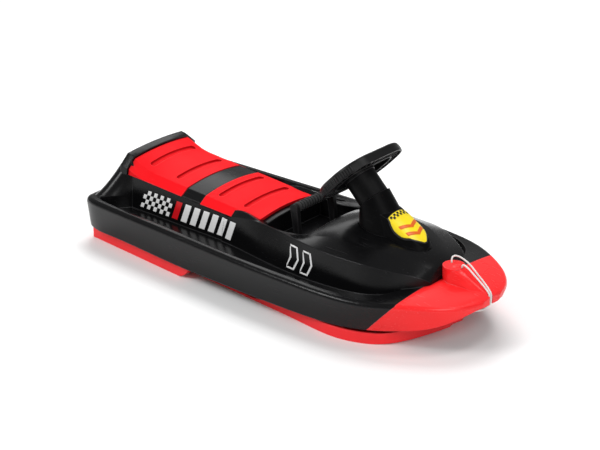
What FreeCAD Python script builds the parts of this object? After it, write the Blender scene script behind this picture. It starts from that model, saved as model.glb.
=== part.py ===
import FreeCAD, Part
import math
import os

# A steering sled in millimetres: +X to the nose, +Y to the left, +Z up from the snow,
# with the origin under the middle of the hull.

V = FreeCAD.Vector

# Hull
LENGTH = 1232.0
WIDTH = 522.0
RIM_HEIGHT = 130.0
HULL_BOTTOM = 36.0
WALL = 4.0
RIM_ROUND = 12.0
RIM_WIDTH = 20.0
WELL_DEPTH = 34.0
WELL_DRAFT = 9.0
SEAT_HEIGHT = 196.0
SEAT_WIDTH = 244.0
COWL_HEIGHT = 228.0
CORE_FOOT = 70.0
FLANGE_WIDTH = 46.0

# Seat pads
PAD_THICKNESS = 8.0
PAD_EDGE_REAR = 188.0
PAD_EDGE_FRONT = 166.0
PAD_GAP = 0.3
GROOVE_WIDTH = 18.0
GROOVE_LENGTH = 172.0
GROOVE_DEPTH = 5.0
RIB_SINK = 1.5
BACK_RISE = 5.0

# Nose bumper
BUMPER_WALL = 4.0
BUMPER_GAP = 0.3
TONGUE_WIDTH = 58.0
TONGUE_HEIGHT = 184.0
NOTCH_WIDTH = 13.0
NOTCH_DEPTH = 9.0
HULL_NOSE_BACK = 35.0

# Tow rope
ROPE_RADIUS = 2.5
ROPE_PLAY = 0.8
KNOT_RADIUS = 5.5
PEG_RADIUS = 6.0
PEG_FOOT = 91.0

# Rear runners and front ski
RUNNER_WIDTH = 74.0
RUNNER_INSET = 8.0
SOLE = 6.0
SIDE_WALL = 5.0
SKI_LENGTH = 700.0
SKI_WIDTH = 450.0
SKI_EDGE = 30.0
SKI_TAIL_WIDTH = 30.0
SKI_TIP_LIFT = 22.0
SKI_TIP_LENGTH = 130.0
SKI_RAMP = 110.0
SKI_NOTCH = 9.0
SKI_BRIDGE = 120.0
SKI_HUB_RADIUS = 42.0
RUNNER_NOSE = 60.0
RIB_THICKNESS = 5.0

# Steering column
TILT = 46.0
SPLIT_HEIGHT = 291.0
COLUMN_DROP = 90.0
SHAFT_RADIUS = 8.0
SHAFT_TAIL = 8.0
SLEEVE_RADIUS = 42.0
SLEEVE_LENGTH = 67.0
SLEEVE_WALL = 4.0
HOUSING_RADIUS = 47.0
HOUSING_WALL = 5.0
HOUSING_LENGTH = 176.0
HOUSING_WIDTH = 124.0
HOUSING_GAP = 0.3
HOUSING_FOOT = 190.0
NECK_PLATE = 12.0
SPLIT_GAP = 2.0
SHAFT_FLAT = 13.0
SHAFT_TUBE = 66.0
SHAFT_END = 2.0
BUSH_WALL = 4.0
BUSH_LENGTH = 18.0
BUSH_RIM = 4.0
TUBE_WALL = 5.0

# Steering wheel
WHEEL_WIDTH = 240.0
WHEEL_HEIGHT = 180.0
WHEEL_OFFSET = 15.0
WHEEL_DEPTH = 26.0
WHEEL_RIM = 36.0
WHEEL_CORNER = 76.0
WHEEL_ROUND = 8.0
WHEEL_SKIN = 4.0
WHEEL_RIBS = 28
WHEEL_TURN = 20.0
WHEEL_RIB = 2.5
RIB_SETBACK = 2.0
HUB_RADIUS = 44.0
HUB_PLATE = 10.0
HUB_DEPTH = 22.0
HUB_CUP = 30.0
SPOKE_WIDTH = 56.0
SPOKE_DEPTH = 14.0
LOWER_SPOKE = 40.0
CAP_RADIUS = 38.0
CAP_HEIGHT = 5.0
CAP_SKIRT = 8.0
NUT_ACROSS = 24.0
NUT_HEIGHT = 8.0
GRIP_RIDGES = 11
GRIP_RIDGE = 2.0
GRIP_PITCH = 10.0

# King post and its carrier
POST_RADIUS = 11.0
POST_FLANGE_RADIUS = 32.0
POST_FLANGE = 7.0
FORK_GAP = 28.0
FORK_CHEEK = 10.0
FORK_LENGTH = 22.0
FORK_TOP = 12.0
FORK_DEPTH = 18.0
FORK_BASE = 8.0
FORK_ROOM = 5.0
PIN_RADIUS = 4.0
PIN_PLAY = 0.3
PIN_END_GAP = 1.0
WASHER = 2.0
WASHER_RADIUS = 27.0
CARRIER_LENGTH = 84.0
CARRIER_PLATE = 6.0
CARRIER_RIB = 20.0
CARRIER_TOP = 192.0

# Brake
BRAKE_AXLE_HEIGHT = 104.0
BRAKE_AXLE_RADIUS = 5.0
BRAKE_SPREAD = 144.0
BRAKE_POST = 12.0
BRAKE_POST_DEPTH = 15.0
BRAKE_POST_TOP = 24.0
BRAKE_TOP = 228.0
BRAKE_LEAN = 16.0
BRAKE_GRIP_RADIUS = 13.0
BRAKE_BAR_RADIUS = 6.0
BRAKE_BOSS = 12.0
BRAKE_GROOVE = 3.0
GRIP_RINGS = 12
GRIP_NOTCH = 2.0
BRAKE_REACH = 113.0
BRAKE_ARM_HEIGHT = 60.0
CLAW_THICKNESS = 3.0
CLAW_WIDTH = 64.0
CLAW_TEETH = 4
CLAW_TIP = 16.0
CLAW_TOOTH = 14.0
CLAW_PAD = 24.0
AXLE_HEAD = 3.0
AXLE_HEAD_RADIUS = 8.0
SPRING_WIRE = 1.2
SPRING_TURNS = 4
SPRING_PITCH = 4.0
SPRING_LEG = 40.0
SPRING_GAP = 0.3
EAR = 6.0
EAR_GAP = 4.0
EAR_REACH = 16.0
RECESS_FLOOR = 126.0
RECESS_WIDTH = 228.0
RECESS_SLOPE = 47.0

# Fasteners and fits
SCREW_RADIUS = 2.5
SCREW_HEAD_RADIUS = 5.0
SCREW_HEAD = 2.5
SCREW_GRIP = 14.0
BOSS_RADIUS = 8.0
BOLT_RADIUS = 4.0
BOLT_HEAD_RADIUS = 7.0
BOLT_HEAD = 4.0
RUN_FIT = 0.05
SEAT_FIT = 0.02
OVERRUN = 40.0
JOIN_TOLERANCE = 0.01

# Worked out from the sizes above
HALF_LENGTH = LENGTH / 2
HALF_WIDTH = WIDTH / 2
SIDE_HEIGHT = RIM_HEIGHT - HULL_BOTTOM
HALF_SEAT = SEAT_WIDTH / 2
HALF_WELL = HALF_WIDTH - RIM_WIDTH
HALF_TONGUE = TONGUE_WIDTH / 2
SHAFT_TOP = SLEEVE_LENGTH + HUB_PLATE + NUT_HEIGHT + SHAFT_END
FLANGE_TOP = HULL_BOTTOM + WALL

# Places along the hull, from its middle
border_share = 0.756
border_rake_share = 0.95
tongue_share = 0.805
tongue_taper_share = 0.55
rope_hole_share = 0.8455
back_shares = (-0.889, -0.85)
rear_pad_shares = (-0.847, -0.53)
divider_shares = (-0.527, -0.423)
front_pad_shares = (-0.42, -0.104)
groove_shares = (-0.775, -0.617, -0.365, -0.219)
recess_shares = (-0.073, 0.078)
brake_share = 0.072
split_share = 0.382
runner_shares = (-0.98, -0.343)
ski_tail_share = -0.313
housing_share = 0.464
rope_rear_shares = (0.7827, 0.28)
bumper_screw_shares = ((0.821, 0.52), (0.821, -0.52))
peg_shares = (0.932, -0.13)
runner_screw_shares = (0.12, 0.45, 0.76)
housing_screw_shares = ((-0.3, 0.26), (-0.3, -0.26), (0.345, 0.1), (0.345, -0.1))
groove_start_share = 0.2
groove_stop_share = 0.93
arc_share = 0.45
BORDER_X = border_share * HALF_LENGTH
TONGUE_X = tongue_share * HALF_LENGTH
ROPE_X = rope_hole_share * HALF_LENGTH
PAD_REAR = rear_pad_shares[0] * HALF_LENGTH
PAD_FRONT = front_pad_shares[1] * HALF_LENGTH
RECESS_REAR = recess_shares[0] * HALF_LENGTH
RECESS_FRONT = recess_shares[1] * HALF_LENGTH
BRAKE_X = brake_share * HALF_LENGTH
SPLIT = V(split_share * HALF_LENGTH, 0, SPLIT_HEIGHT)
KING_X = SPLIT.x + COLUMN_DROP * math.sin(math.radians(TILT))
KING_Z = SPLIT.z - COLUMN_DROP * math.cos(math.radians(TILT))
HOUSING_X = housing_share * HALF_LENGTH
FORK_RADIUS = math.hypot(FORK_LENGTH / 2, FORK_GAP / 2 + FORK_CHEEK)
HOUSING_PAD = KING_Z - FORK_DEPTH
RUNNER_REAR = runner_shares[0] * HALF_LENGTH
RUNNER_FRONT = runner_shares[1] * HALF_LENGTH
SKI_TAIL = ski_tail_share * HALF_LENGTH
CARRIER_FRONT = KING_X + CARRIER_LENGTH / 2

# Tub: place along the hull, half width at the foot, lift of the foot, half width at the rim,
# rise of the rim and crown of the deck
tub_shares = [
    (-1.0, 0.69, 0.16, 0.735, -0.1, 0.032),
    (-0.982, 0.765, 0.06, 0.81, -0.05, 0.032),
    (-0.95, 0.795, 0.015, 0.85, -0.02, 0.032),
    (-0.859, 0.818, 0.0, 0.885, 0.0, 0.032),
    (-0.453, 0.89, 0.0, 0.935, 0.0, 0.032),
    (0.034, 0.925, 0.0, 0.995, 0.0, 0.032),
    (0.324, 0.915, 0.0, 1.0, 0.0, 0.032),
    (0.521, 0.85, 0.0, 0.973, 0.0, 0.032),
    (0.635, 0.765, 0.043, 0.912, 0.011, 0.043),
    (0.748, 0.659, 0.149, 0.785, 0.043, 0.117),
    (0.845, 0.559, 0.298, 0.644, 0.043, 0.138),
    (0.919, 0.429, 0.489, 0.498, 0.021, 0.128),
    (0.971, 0.268, 0.702, 0.322, 0.0, 0.096),
    (1.0, 0.107, 0.809, 0.138, -0.021, 0.064),
]

# Footwells: place along the hull, half width and rise of the floor
well_shares = [
    (-0.937, 0.79, 0.12),
    (-0.916, 0.842, 0.03),
    (-0.859, 0.88, 0.0),
    (-0.44, 0.934, 0.0),
    (-0.17, 0.988, 0.0),
    (0.034, 1.0, 0.03),
    (0.324, 1.0, 0.2),
    (0.505, 0.965, 0.42),
    (0.594, 0.879, 0.6),
    (0.659, 0.714, 0.8),
    (0.692, 0.541, 0.94),
]

# Seat console: place along the hull, foot, wall and top half widths, wall, top and crown heights
console_shares = [
    (-0.891, 1.13, 1.0, 0.82, 1.04, 1.135, 1.17),
    (-0.851, 1.13, 1.0, 0.82, 1.02, 1.12, 1.155),
    (-0.794, 1.13, 1.0, 0.82, 0.959, 1.051, 1.11),
    (-0.696, 1.13, 1.0, 0.82, 0.918, 0.99, 1.051),
    (-0.453, 1.13, 1.0, 0.82, 0.878, 0.949, 1.0),
    (-0.104, 1.13, 1.0, 0.82, 0.806, 0.878, 0.929),
    (-0.062, 1.13, 1.0, 0.82, 0.796, 0.867, 0.918),
]

# Tail wing: place along the hull, foot, wing and top half widths, wing, top and crown heights
tail_shares = [
    (-0.985, 0.7, 0.665, 0.42, 0.95, 1.05, 1.1),
    (-0.951, 0.79, 0.75, 0.44, 1.0, 1.3, 1.36),
    (-0.911, 0.8, 0.745, 0.45, 1.03, 1.6, 1.66),
    (-0.878, 0.72, 0.675, 0.452, 1.03, 1.7, 1.76),
    (-0.846, 0.6, 0.56, 0.452, 1.0, 1.67, 1.73),
    (-0.807, 0.5, 0.48, 0.45, 0.95, 1.48, 1.54),
]

# Cowl: place along the hull, foot, crease and shoulder half widths, then crease, shoulder and
# crown heights
cowl_shares = [
    (-0.285, 0.545, 0.475, 0.42, 0.7, 0.72, 0.7),
    (-0.111, 0.6, 0.485, 0.45, 0.8, 0.815, 0.68),
    (0.184, 0.693, 0.579, 0.452, 0.816, 0.833, 0.912),
    (0.294, 0.701, 0.613, 0.429, 0.816, 0.899, 1.0),
    (0.448, 0.701, 0.613, 0.402, 0.816, 0.934, 0.996),
    (0.59, 0.651, 0.556, 0.337, 0.803, 0.895, 0.943),
    (0.683, 0.529, 0.452, 0.253, 0.772, 0.833, 0.873),
    (0.748, 0.383, 0.337, 0.172, 0.724, 0.763, 0.789),
    (0.771, 0.299, 0.253, 0.13, 0.658, 0.693, 0.715),
]

# Bumper ridge: place along the hull, foot, flank and top half widths, flank, top and crown heights
ridge_shares = [
    (0.807, 1.5, 1.1, 0.9, 0.84, 0.967, 1.0),
    (0.854, 1.45, 1.05, 0.8, 0.83, 0.95, 0.99),
    (0.894, 1.3, 0.95, 0.62, 0.81, 0.88, 0.915),
    (0.935, 1.1, 0.8, 0.45, 0.76, 0.8, 0.83),
    (0.967, 0.8, 0.6, 0.35, 0.73, 0.755, 0.777),
    (0.992, 0.6, 0.45, 0.25, 0.7, 0.728, 0.742),
]

# Fairing of the tower: place along the hull, foot, crease and shoulder half widths, then crease,
# shoulder and crown heights
fairing_shares = [
    (0.44, 0.85, 0.82, 0.66, 0.8, 0.945, 0.99),
    (0.521, 0.84, 0.77, 0.58, 0.775, 0.895, 0.93),
    (0.594, 0.76, 0.7, 0.53, 0.735, 0.815, 0.845),
    (0.652, 0.52, 0.46, 0.34, 0.695, 0.74, 0.76),
    (0.674, 0.28, 0.22, 0.13, 0.675, 0.695, 0.71),
]

# Front ski: place from tail to tip along its length and half width
ski_edge_shares = [
    (0.0, 0.83), (0.3, 0.905), (0.52, 0.97), (0.72, 1.0), (0.88, 0.765), (0.963, 0.37), (1.0, 0.11),
]


def corner(x, pair):
    return V(x, pair[0], pair[1])


def hoop(x, flank, crown, rounded=None):
    """Closed cross section: a flank from the foot up and its mirror, joined by an arched top.

    The flank's last stretch is an arc through the point given as rounded."""
    left = [corner(x, pair) for pair in flank]
    right = [V(x, -point.y, point.z) for point in left]
    edges = [Part.LineSegment(right[0], left[0])]
    straight = len(left) - (2 if rounded else 1)
    edges += [Part.LineSegment(left[i], left[i + 1]) for i in range(straight)]
    if rounded:
        edges.append(Part.Arc(left[-2], V(x, rounded[0], rounded[1]), left[-1]))
    edges.append(Part.Arc(left[-1], V(x, 0, crown), right[-1]))
    if rounded:
        edges.append(Part.Arc(right[-1], V(x, -rounded[0], rounded[1]), right[-2]))
    edges += [Part.LineSegment(right[i + 1], right[i]) for i in reversed(range(straight))]
    return Part.Wire([edge.toShape() for edge in edges])


def long_loft(sections):
    return Part.makeLoft(sections, True, False)


def side_prism(points, half_width):
    """Prism across the sled, from a side-view outline of (x, z) points."""
    outline = [V(x, -half_width, z) for x, z in points]
    face = Part.Face(Part.makePolygon(outline + outline[:1]))
    return face.extrude(V(0, 2 * half_width, 0))


def plan_prism(points, bottom, top):
    """Upright prism from a plan outline of (x, y) points."""
    outline = [V(x, y, bottom) for x, y in points]
    face = Part.Face(Part.makePolygon(outline + outline[:1]))
    return face.extrude(V(0, 0, top - bottom))


def block(x0, x1, y0, y1, z0, z1):
    return Part.makeBox(x1 - x0, y1 - y0, z1 - z0, V(x0, y0, z0))


def drum(radius, height, base, axis=V(0, 0, 1)):
    return Part.makeCylinder(radius, height, base, axis)


def fuse(*shapes):
    return shapes[0].fuse(list(shapes[1:]), JOIN_TOLERANCE)


def cut(shape, *tools):
    return shape.cut(list(tools), JOIN_TOLERANCE)


def common(shape, *tools):
    for tool in tools:
        shape = shape.common([tool], JOIN_TOLERANCE)
    return shape


def stations(shares, pull=0.0):
    """Rows of a table with their place along the hull, the two ends pulled inwards."""
    places = [row[0] * HALF_LENGTH for row in shares]
    places[0] += pull
    places[-1] -= pull
    return [(place,) + row[1:] for place, row in zip(places, shares)]


def tub(skin=0.0, drop=0.0):
    """The hull's outer form, drawn in by a skin and carried down by a drop."""
    sections = []
    for x, foot, lift, rim, rise, crown in stations(tub_shares, skin):
        rim_top = RIM_HEIGHT + rise * SIDE_HEIGHT
        foot_side = foot * HALF_WIDTH - skin
        bend = RIM_ROUND - skin
        middle = bend * math.sqrt(0.5)
        centre_y = rim * HALF_WIDTH - RIM_ROUND
        centre_z = rim_top - RIM_ROUND
        flank = [
            (foot_side, HULL_BOTTOM + lift * SIDE_HEIGHT),
            (centre_y + bend, centre_z),
            (centre_y, centre_z + bend),
        ]
        if drop:
            flank.insert(0, (foot_side, HULL_BOTTOM - drop))
        rounded = (centre_y + middle, centre_z + middle)
        sections.append(hoop(x, flank, rim_top + crown * SIDE_HEIGHT - skin, rounded))
    return long_loft(sections)


def foot_side(x):
    """Half width of the hull's lower edge at a place along it."""
    rows = [(row[0] * HALF_LENGTH, row[1] * HALF_WIDTH) for row in tub_shares]
    for (x0, y0), (x1, y1) in zip(rows, rows[1:]):
        if x0 <= x <= x1:
            return y0 + (y1 - y0) * (x - x0) / (x1 - x0)


def well(skin=0.0):
    """The space of both footwells, grown by a skin."""
    sections = []
    for x, side, rise in stations(well_shares, -skin):
        floor = RIM_HEIGHT - WELL_DEPTH * (1 - rise)
        half = side * HALF_WELL + skin
        flank = [(half - WELL_DRAFT, floor - skin), (half + WELL_DRAFT, RIM_HEIGHT + OVERRUN)]
        sections.append(hoop(x, flank, RIM_HEIGHT + 2 * OVERRUN))
    return long_loft(sections)


def ridged(shares, half, height, foot_height, skin=0.0):
    """A body with a foot, a crease and a shoulder on each side, drawn in by a skin."""
    sections = []
    for x, foot, crease, shoulder, crease_height, shoulder_height, crown in stations(shares, skin):
        flank = [
            (foot * half - skin, foot_height),
            (crease * half - skin, crease_height * height - skin / 2),
            (shoulder * half - skin / 2, shoulder_height * height - skin),
        ]
        sections.append(hoop(x, flank, crown * height - skin))
    return long_loft(sections)


def console(skin=0.0):
    return ridged(console_shares, HALF_SEAT, SEAT_HEIGHT, CORE_FOOT, skin)


def tail(skin=0.0):
    return ridged(tail_shares, HALF_WIDTH, RIM_HEIGHT, CORE_FOOT, skin)


def cowl(skin=0.0):
    return ridged(cowl_shares, HALF_WIDTH, COWL_HEIGHT, CORE_FOOT, skin)


def ridge(skin=0.0):
    return ridged(ridge_shares, HALF_TONGUE, TONGUE_HEIGHT, RIM_HEIGHT - TONGUE_WIDTH, skin)


def tongue(skin=0.0):
    """The raised tongue that the rope is tied to, round behind and narrower in front, drawn in by a skin."""
    half = HALF_TONGUE - skin
    front = half * tongue_taper_share
    top = TONGUE_HEIGHT - skin
    round_end = drum(half, top - RIM_HEIGHT, V(TONGUE_X, 0, RIM_HEIGHT))
    plan = [(TONGUE_X, half), (ROPE_X, front), (ROPE_X, -front), (TONGUE_X, -half)]
    return fuse(round_end, plan_prism(plan, RIM_HEIGHT, top))


def groove(x):
    """A cross groove in a seat pad, with round ends."""
    half = (GROOVE_LENGTH - GROOVE_WIDTH) / 2
    radius = GROOVE_WIDTH / 2
    slot = block(x - radius, x + radius, -half, half, CORE_FOOT, SPLIT_HEIGHT)
    for y in (-half, half):
        slot = fuse(slot, drum(radius, SPLIT_HEIGHT - CORE_FOOT, V(x, y, CORE_FOOT)))
    return cut(slot, console(GROOVE_DEPTH - PAD_THICKNESS))


def nose_zone(shift=0.0):
    """All ahead of the bumper's border, which rakes back below the rim, moved forward by a shift."""
    border = BORDER_X + shift
    far = HALF_LENGTH + OVERRUN
    points = [
        (border - border_rake_share * RIM_HEIGHT, 0),
        (border, RIM_HEIGHT),
        (border, SPLIT_HEIGHT),
        (far, SPLIT_HEIGHT),
        (far, 0),
    ]
    return side_prism(points, HALF_WIDTH + OVERRUN)


def above_seat_edge():
    """All that lies above the sloping lower edge of the seat pads."""
    slope = (PAD_EDGE_FRONT - PAD_EDGE_REAR) / (PAD_FRONT - PAD_REAR)
    rear_x = -HALF_LENGTH - OVERRUN
    points = [
        (rear_x, PAD_EDGE_REAR + slope * (rear_x - PAD_REAR)),
        (0, PAD_EDGE_REAR - slope * PAD_REAR),
        (0, SPLIT_HEIGHT),
        (rear_x, SPLIT_HEIGHT),
    ]
    return side_prism(points, HALF_WIDTH)


def seat_band(shares, thickness):
    """A stretch of the seat console's skin, grown by a thickness, above the pads' lower edge."""
    x0, x1 = (share * HALF_LENGTH for share in shares)
    zone = block(x0, x1, -HALF_WIDTH, HALF_WIDTH, 0, SPLIT_HEIGHT)
    return common(console(-thickness), zone, above_seat_edge())


def recess(skin=0.0):
    """The hand space round the brake, between seat and cowl, grown by a skin."""
    slant = skin / math.sin(math.radians(RECESS_SLOPE))
    rise = SPLIT_HEIGHT - RECESS_FLOOR + skin
    points = [
        (RECESS_REAR - skin, RECESS_FLOOR - skin),
        (RECESS_FRONT + slant, RECESS_FLOOR - skin),
        (RECESS_FRONT + slant + rise / math.tan(math.radians(RECESS_SLOPE)), SPLIT_HEIGHT),
        (RECESS_REAR - skin, SPLIT_HEIGHT),
    ]
    return side_prism(points, RECESS_WIDTH / 2 + skin)


def fastener(seat, direction, length, radius, head_radius, head):
    """A screw or bolt: its shank runs from the seat along a direction, its head stands behind."""
    shank = drum(radius, length, seat, direction)
    return shank.fuse(drum(head_radius, head, seat - direction * head, direction)).removeSplitter()


def along_column(shape):
    """Carry a shape from the column's own frame, Z up the column from the split, to the sled."""
    placed = shape.copy()
    placed.rotate(V(0, 0, 0), V(0, 1, 0), -TILT)
    placed.translate(SPLIT)
    return placed


def ring(outer, inner, height, base, axis=V(0, 0, 1)):
    return drum(outer, height, base, axis).cut(drum(inner, height, base, axis))


def mirrored(shape):
    return shape.mirror(V(0, 0, 0), V(0, 1, 0))


def flange_window():
    """Plan outline of the opening in the hull's floor round the ski's post."""
    rows = [RUNNER_FRONT + FLANGE_WIDTH, 0, CARRIER_FRONT + OVERRUN]
    side = [(x, foot_side(x) - FLANGE_WIDTH) for x in rows]
    return side + [(x, -y) for x, y in reversed(side)]


def brake_ear(side):
    """Plate under the recess that holds one end of the brake's axle."""
    inner_y = (BRAKE_SPREAD + BRAKE_POST) / 2 + EAR_GAP
    top = RECESS_FLOOR - WALL / 2
    low = BRAKE_AXLE_HEIGHT - EAR_REACH
    near, far = sorted((side * inner_y, side * (inner_y + EAR)))
    return block(BRAKE_X - EAR_REACH, BRAKE_X + EAR_REACH, near, far, low, top)


def post_slot(side):
    """Slot in the recess floor that one brake post swings in."""
    half = BRAKE_POST / 2 + EAR_GAP / 2
    middle = side * BRAKE_SPREAD / 2
    rear = BRAKE_X - BRAKE_POST_DEPTH - EAR_REACH
    front = BRAKE_X + BRAKE_POST_DEPTH
    return block(rear, front, middle - half, middle + half, BRAKE_AXLE_HEIGHT, RECESS_FLOOR + WALL)


def standing(place, radius, low, form):
    """Round pillar from a low height up into a form."""
    return common(drum(radius, COWL_HEIGHT, V(place[0], place[1], low)), form)


def flat_face(edges):
    return Part.Face(Part.Wire([edge.toShape() for edge in edges]))


def runner_side(lift=0.0):
    """Side view of a runner: flat sole, cut-up tail and rounded-up nose, extruded across."""
    width = -HALF_WIDTH
    rear = V(RUNNER_REAR, width, lift)
    nose = V(RUNNER_FRONT, width, HULL_BOTTOM + lift)
    start = V(RUNNER_FRONT - RUNNER_NOSE, width, lift)
    via = V(RUNNER_FRONT - RUNNER_NOSE / 3, width, HULL_BOTTOM / 4 + lift)
    top = V(RUNNER_REAR, width, HULL_BOTTOM + lift)
    edges = [Part.LineSegment(rear, start), Part.Arc(start, via, nose),
             Part.LineSegment(nose, top), Part.LineSegment(top, rear)]
    return flat_face(edges).extrude(V(0, WIDTH, 0))


def runner_plan(inset=0.0):
    """Upright prism of the left runner's plan, drawn in by an inset."""
    rear = RUNNER_REAR + inset
    outer_rear = foot_side(RUNNER_REAR) - RUNNER_INSET - inset
    outer_front = foot_side(RUNNER_FRONT) - RUNNER_INSET - inset
    inner_rear = foot_side(RUNNER_REAR) - RUNNER_INSET - RUNNER_WIDTH + inset
    inner_front = foot_side(RUNNER_FRONT) - RUNNER_INSET - RUNNER_WIDTH + inset
    outer = [(rear, outer_rear), (RUNNER_FRONT, outer_front)]
    inner = [(RUNNER_FRONT, inner_front), (rear, inner_rear)]
    return plan_prism(outer + inner, 0, HULL_BOTTOM)


def ski_outline(inset=0.0):
    """Plan of the ski's outer edge with a notch between its two tips, drawn in by an inset."""
    left = []
    for along, side in ski_edge_shares:
        x = SKI_TAIL + along * (SKI_LENGTH - inset)
        left.append(V(x, side * SKI_WIDTH / 2 - inset, 0))
    curve = Part.BSplineCurve()
    curve.interpolate(left)
    other = Part.BSplineCurve()
    other.interpolate([V(point.x, -point.y, 0) for point in reversed(left)])
    notch = V(left[-1].x - SKI_NOTCH, 0, 0)
    mirror = V(left[-1].x, -left[-1].y, 0)
    tail_left = V(SKI_TAIL, left[0].y, 0)
    tail_right = V(SKI_TAIL, -left[0].y, 0)
    edges = [curve, Part.LineSegment(left[-1], notch), Part.LineSegment(notch, mirror),
             other, Part.LineSegment(tail_right, tail_left)]
    return flat_face(edges).extrude(V(0, 0, SKI_EDGE + SKI_TIP_LIFT))


def ski_side(thickness, rear, rear_thickness):
    """Side view of the ski's sole, flat and turned up at the tip, extruded across."""
    tip = SKI_TAIL + SKI_LENGTH
    width = -HALF_WIDTH
    bend = tip - SKI_TIP_LENGTH
    half_way = tip - SKI_TIP_LENGTH / 2
    low = [V(bend, width, 0), V(half_way, width, SKI_TIP_LIFT / 4), V(tip, width, SKI_TIP_LIFT)]
    high = [point + V(0, 0, thickness) for point in low]
    start = V(rear, width, 0)
    end = V(rear, width, rear_thickness)
    edges = [Part.LineSegment(start, low[0]), Part.Arc(*low), Part.LineSegment(low[2], high[2]),
             Part.Arc(high[2], high[1], high[0])]
    ramp = V(rear + SKI_RAMP, width, thickness)
    edges += [Part.LineSegment(high[0], ramp), Part.LineSegment(ramp, end), Part.LineSegment(end, start)]
    return flat_face(edges).extrude(V(0, WIDTH, 0))


def tower(skin=0.0):
    """The tower's round neck, across the column, run into an oval foot, drawn in by a skin."""
    depth = NECK_PLATE if skin else 0
    neck = along_column(Part.makeCircle(HOUSING_RADIUS - skin, V(0, 0, -depth)))
    middle = V(HOUSING_X, 0, HOUSING_FOOT - skin)
    foot = Part.Ellipse(middle, HOUSING_LENGTH / 2 - skin, HOUSING_WIDTH / 2 - skin)
    return Part.makeLoft([Part.Wire(foot.toShape()), Part.Wire(neck)], True, True)


def fairing(skin=0.0):
    """The slope down the front of the tower, drawn in by a skin."""
    return ridged(fairing_shares, HOUSING_WIDTH / 2, SPLIT_HEIGHT, HOUSING_FOOT - skin, skin)


def rim_prism(inset, bottom, top):
    """Rounded rectangle of the wheel's rim in the column's frame, drawn in by an inset."""
    half_x = WHEEL_HEIGHT / 2 - inset
    half_y = WHEEL_WIDTH / 2 - inset
    bend = WHEEL_CORNER - inset
    dx = half_x - bend
    dy = half_y - bend
    lie = bend * math.sqrt(0.5)
    edges = []
    corners = [(1, 1), (-1, 1), (-1, -1), (1, -1)]
    for count, (sx, sy) in enumerate(corners):
        centre = V(WHEEL_OFFSET + sx * dx, sy * dy, bottom)
        along = V(sx * bend, 0, 0)
        across = V(0, sy * bend, 0)
        start, stop = (along, across) if count % 2 == 0 else (across, along)
        edges.append(Part.Arc(centre + start, centre + V(sx * lie, sy * lie, 0), centre + stop))
    joins = [Part.LineSegment(edges[i].EndPoint, edges[(i + 1) % 4].StartPoint) for i in range(4)]
    wire = [edge for pair in zip(edges, joins) for edge in pair]
    return flat_face(wire).extrude(V(0, 0, top - bottom))


def bar(start, stop, widths, low_y, high_y):
    """Tapered bar between two points of the side view and between two places across."""
    along = stop - start
    normal = V(-along.z, 0, along.x).normalize() / 2
    first, last = (normal * width for width in widths)
    points = [start + first, start - first, stop - last, stop + last]
    outline = [V(point.x, low_y, point.z) for point in points]
    return Part.Face(Part.makePolygon(outline + outline[:1])).extrude(V(0, high_y - low_y, 0))


def tube_along(points, radius, name):
    """Round tube along straight runs joined by tangent arcs, each as large as its two runs allow."""
    edges = []
    radii = []
    last = points[0]
    for before, here, after in zip(points, points[1:], points[2:]):
        back = (before - here).normalize()
        on = (after - here).normalize()
        reach = arc_share * min(before.distanceToPoint(here), here.distanceToPoint(after))
        half_turn = (math.pi - back.getAngle(on)) / 2
        bend = reach / math.tan(half_turn)
        inward = (back + on).normalize()
        middle = here + inward * (bend / math.cos(half_turn) - bend)
        edges.append(Part.LineSegment(last, here + back * reach).toShape())
        edges.append(Part.Arc(here + back * reach, middle, here + on * reach).toShape())
        radii.append(round(bend, 1))
        last = here + on * reach
    edges.append(Part.LineSegment(last, points[-1]).toShape())
    path = Part.Wire(edges)
    start = Part.Wire(Part.makeCircle(radius, points[0], points[1] - points[0]))
    tube = path.makePipeShell([start], True, False)
    print(name, "length", round(path.Length, 1), "volume ratio",
          round(tube.Volume / (math.pi * radius ** 2 * path.Length), 4), "radii", radii)
    return tube


UP = V(0, 0, 1)
DOWN = V(0, 0, -1)
ACROSS = V(0, 1, 0)
AHEAD = V(1, 0, 0)

# Places of fasteners, from the outlines of the pieces that they hold
RUNNER_INNER = foot_side(RUNNER_REAR) - RUNNER_INSET - RUNNER_WIDTH
CARRIER_HALF = foot_side(CARRIER_FRONT) - 3 * WALL
RUNNER_SCREWS = []
for share in runner_screw_shares:
    x = RUNNER_REAR + share * (RUNNER_FRONT - RUNNER_REAR)
    y = foot_side(x) - RUNNER_INSET - RUNNER_WIDTH / 2
    RUNNER_SCREWS += [(x, y), (x, -y)]
CARRIER_SCREWS = []
for side in (-1, 1):
    CARRIER_SCREWS.append((KING_X - CARRIER_LENGTH / 4, side * (CARRIER_HALF - SCREW_GRIP)))
    CARRIER_SCREWS.append((KING_X + CARRIER_LENGTH / 4, side * (CARRIER_HALF - SCREW_GRIP)))
HOUSING_SCREWS = [(HOUSING_X + x * HOUSING_LENGTH, y * HOUSING_WIDTH) for x, y in housing_screw_shares]
BUMPER_SCREWS = [(x * HALF_LENGTH, y * HALF_TONGUE) for x, y in bumper_screw_shares]
ROPE_HOLES = [(ROPE_X, 0), (rope_rear_shares[0] * HALF_LENGTH, rope_rear_shares[1] * HALF_TONGUE)]
ROPE_PEG = (peg_shares[0] * HALF_LENGTH, peg_shares[1] * HALF_WIDTH)
AXLE_HALF = (BRAKE_SPREAD + BRAKE_POST) / 2 + EAR_GAP + EAR

parts = {}

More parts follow.
